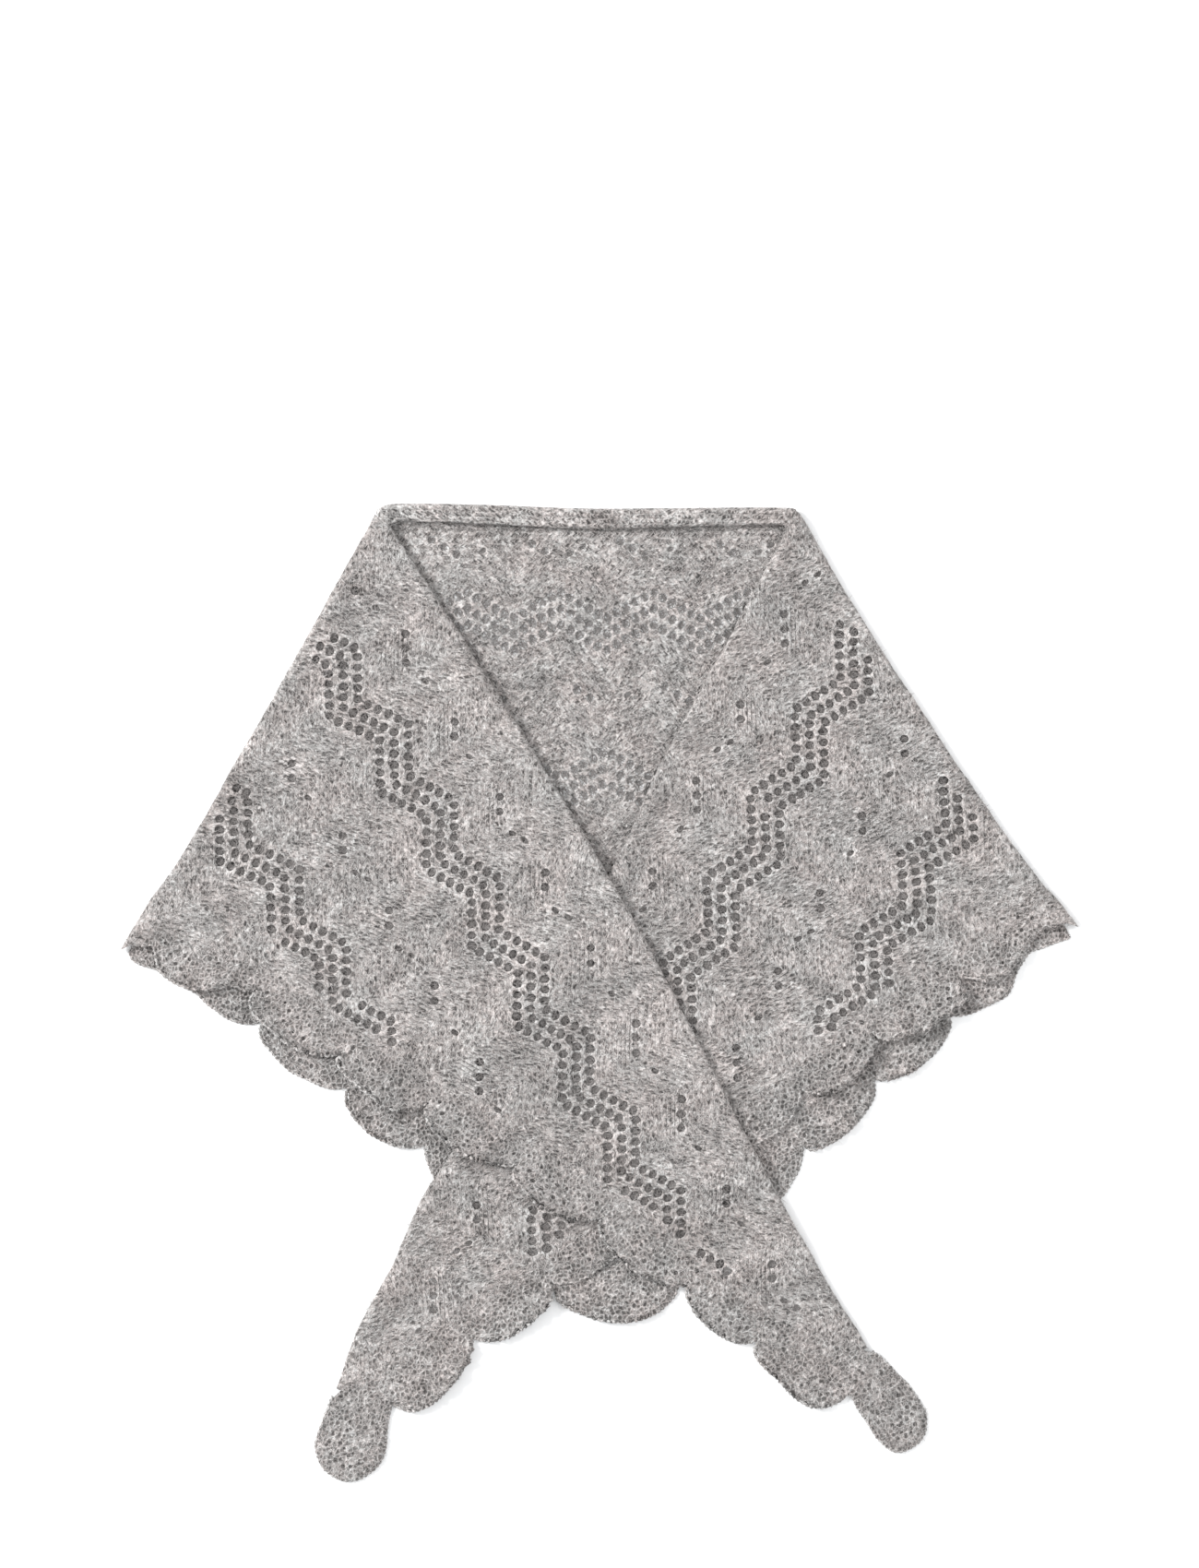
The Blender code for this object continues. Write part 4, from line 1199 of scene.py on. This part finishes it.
def floor_and_light():
    graph = Graph("pale_floor", 0.9, 0.0)
    tone = graph.noise(graph.place(), 3.0, 2.0)
    colour = graph.ramp(tone, [(0.0, (0.9, 0.9, 0.9)), (1.0, (0.93, 0.93, 0.93))])
    material = graph.finish(colour, tone, 0.0001)
    corners = FLOOR_HALF * np.array([(-1, -1, 0), (1, -1, 0), (1, 1, 0), (-1, 1, 0)])
    new_object("floor", corners, np.array([(0, 1, 2, 3)]), [material])
    world = bpy.data.worlds.new("studio")
    bpy.context.scene.world = world
    world.use_nodes = True
    sky = world.node_tree.nodes["Background"]
    sky.inputs["Color"].default_value = (0.98, 0.99, 1, 1)
    sky.inputs["Strength"].default_value = SKY_STRENGTH
    for label, place, size, power in LIGHTS:
        light = bpy.data.lights.new(label, "AREA")
        light.size = size
        light.energy = power
        holder = bpy.data.objects.new(label, light)
        holder.location = place
        holder.rotation_euler = (Vector(LIT_PLACE) - Vector(place)).to_track_quat("-Z", "Y").to_euler()
        bpy.context.scene.collection.objects.link(holder)
    bpy.context.scene.view_settings.view_transform = "Standard"


# The photograph's frame: straight down on the surface
FRAME_HEIGHT = 1.0455
FRAME_CENTRE = (0.0, 0.1387)
CAMERA_HEIGHT = 3.0


def add_camera():
    camera = bpy.data.cameras.new("camera")
    camera.sensor_fit = "VERTICAL"
    camera.sensor_height = 24
    camera.lens = camera.sensor_height * CAMERA_HEIGHT / FRAME_HEIGHT
    holder = bpy.data.objects.new("camera", camera)
    holder.location = (*FRAME_CENTRE, CAMERA_HEIGHT)
    bpy.context.scene.collection.objects.link(holder)
    bpy.context.scene.camera = holder


def main():
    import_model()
    folds = smooth_curve(RIGHT_FOLD, 2)[::-1], smooth_curve(LEFT_FOLD, 2)
    back_outline = np.vstack([*folds, scalloped(BACK_LOBES, COARSE_LOBE_STEPS)])

    def on_back(points):
        return LAYER * cover(back_outline, points, DRAPE_MARGIN)

    under = Wing(
        RIGHT_FOLD, UNDER_EDGE, UNDER_CURL, UNDER_LOBES, UNDER_ODD, UNDER_TIP,
        UNDER_CREASES, UNDER_INWARD, on_back,
    )
    edge_length = lengths_along(under.edge)[-1]
    hidden_curl = resample(under.edge, np.linspace(*HIDDEN_CURL, 14) * edge_length)
    ridge_rise = under.curl[:, 1].min() - WALL

    def on_under(points):
        level = LAYER * cover(back_outline, points, DRAPE_MARGIN + UPPER_LAYER_MARGIN)
        level += LAYER * cover(under.outline, points, DRAPE_MARGIN)
        apart = nearest_on(hidden_curl, points)[0]
        return level + ridge_rise * (1 - ease((apart - RIDGE_FLAT) / RIDGE_FADE))

    over = Wing(
        LEFT_FOLD, OVER_EDGE, OVER_CURL, OVER_LOBES, OVER_ODD, OVER_TIP,
        OVER_CREASES, OVER_INWARD, on_under,
    )
    back_seam = seam_line(BACK_LOBES, [BACK_INWARD[row[0] > 0] for row in BACK_LOBES])
    border = Border(BACK_LOBES, back_seam, wavering(hem_line(BACK_LOBES, BACK_ODD), 0.8, 97))

    def beneath(*wings):
        def test(points):
            found = np.zeros(len(points), bool)
            for wing in wings:
                deep = nearest_on(closed(wing.outline), points)[0] > HIDDEN_MARGIN
                found |= inside_of(wing.outline, points) & deep
            return found
        return test

    def nowhere(points):
        return np.zeros(len(points), bool)

    cloth = [knit_side("knit_face"), purl_side("purl_face"), border_side("border_knit")]
    fibre = fibre_material("loose_fibre")
    made = {
        "back": make_back("back_cloth", over, under, border, beneath(over, under), cloth),
        "under": make_wing("under_cloth", under, UNDER_BANDS, UNDER_STRINGS, beneath(over), 11, cloth),
        "over": make_wing("over_cloth", over, OVER_BANDS, OVER_STRINGS, nowhere, 21, cloth),
    }
    hems = {
        "back": (border.outer, lambda p: (border.ruffle(p)[0], border.ruffle(p)[1] + SHELL / 2, 0)),
        "under": (under.hem, hem_place(under)),
        "over": (over.hem, hem_place(over)),
    }
    unseen_of = {"back": beneath(over, under), "under": beneath(over), "over": nowhere}
    beneath_of = {"back": [], "under": [back_outline], "over": [back_outline, under.outline]}
    bodies = {"back": "back_panel", "under": "under_wing", "over": "over_wing"}
    for label, (sheet, piece) in made.items():
        hem, place = hems[label]
        cord = make_cast_off(f"{label}_cast_off", hem, place, cloth[2], 61)
        unseen = unseen_of[label]
        centres = np.array([eyelet.mean(axis=0) for eyelet in sheet.eyelets])
        backed = np.zeros(len(centres), bool)
        for outline in beneath_of[label]:
            backed |= inside_of(outline, centres)
        # Eyelets with only the floor beneath get more dark crossing fibres, as painted shade
        crossings = np.where(backed, FEW_CROSSINGS, MANY_CROSSINGS)
        fuzz = make_fuzz(
            f"{label}_fuzz", sheet, FIBRES[label], lambda p, hide=unseen: ~hide(p), crossings, fibre, 71
        )
        for part, slot in ((piece, "knit"), (cord, "border"), (fuzz, "knit")):
            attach(part, "root")
        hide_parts(bodies[label], f"{label}_border")
        flat = np.vstack(sheet.flat)
        span = np.ptp(flat, axis=0) * METRE
        area = mesh_area(flat, np.vstack(sheet.faces)) * METRE**2
        print(label, "flat", span.round(3), "area", round(area, 4), "triangles", len(piece.data.polygons))
    floor_and_light()
    add_camera()


def mesh_area(points, faces):
    ahead, aside = points[faces[:, 1]] - points[faces[:, 0]], points[faces[:, 2]] - points[faces[:, 0]]
    return float(np.abs(ahead[:, 0] * aside[:, 1] - ahead[:, 1] * aside[:, 0]).sum() / 2)


def hem_place(wing):
    def place(points):
        shift, lift = wing.border.ruffle(points)
        return shift, wing.height(points) + lift + SHELL_SINK + SHELL / 2, 0
    return place


main()
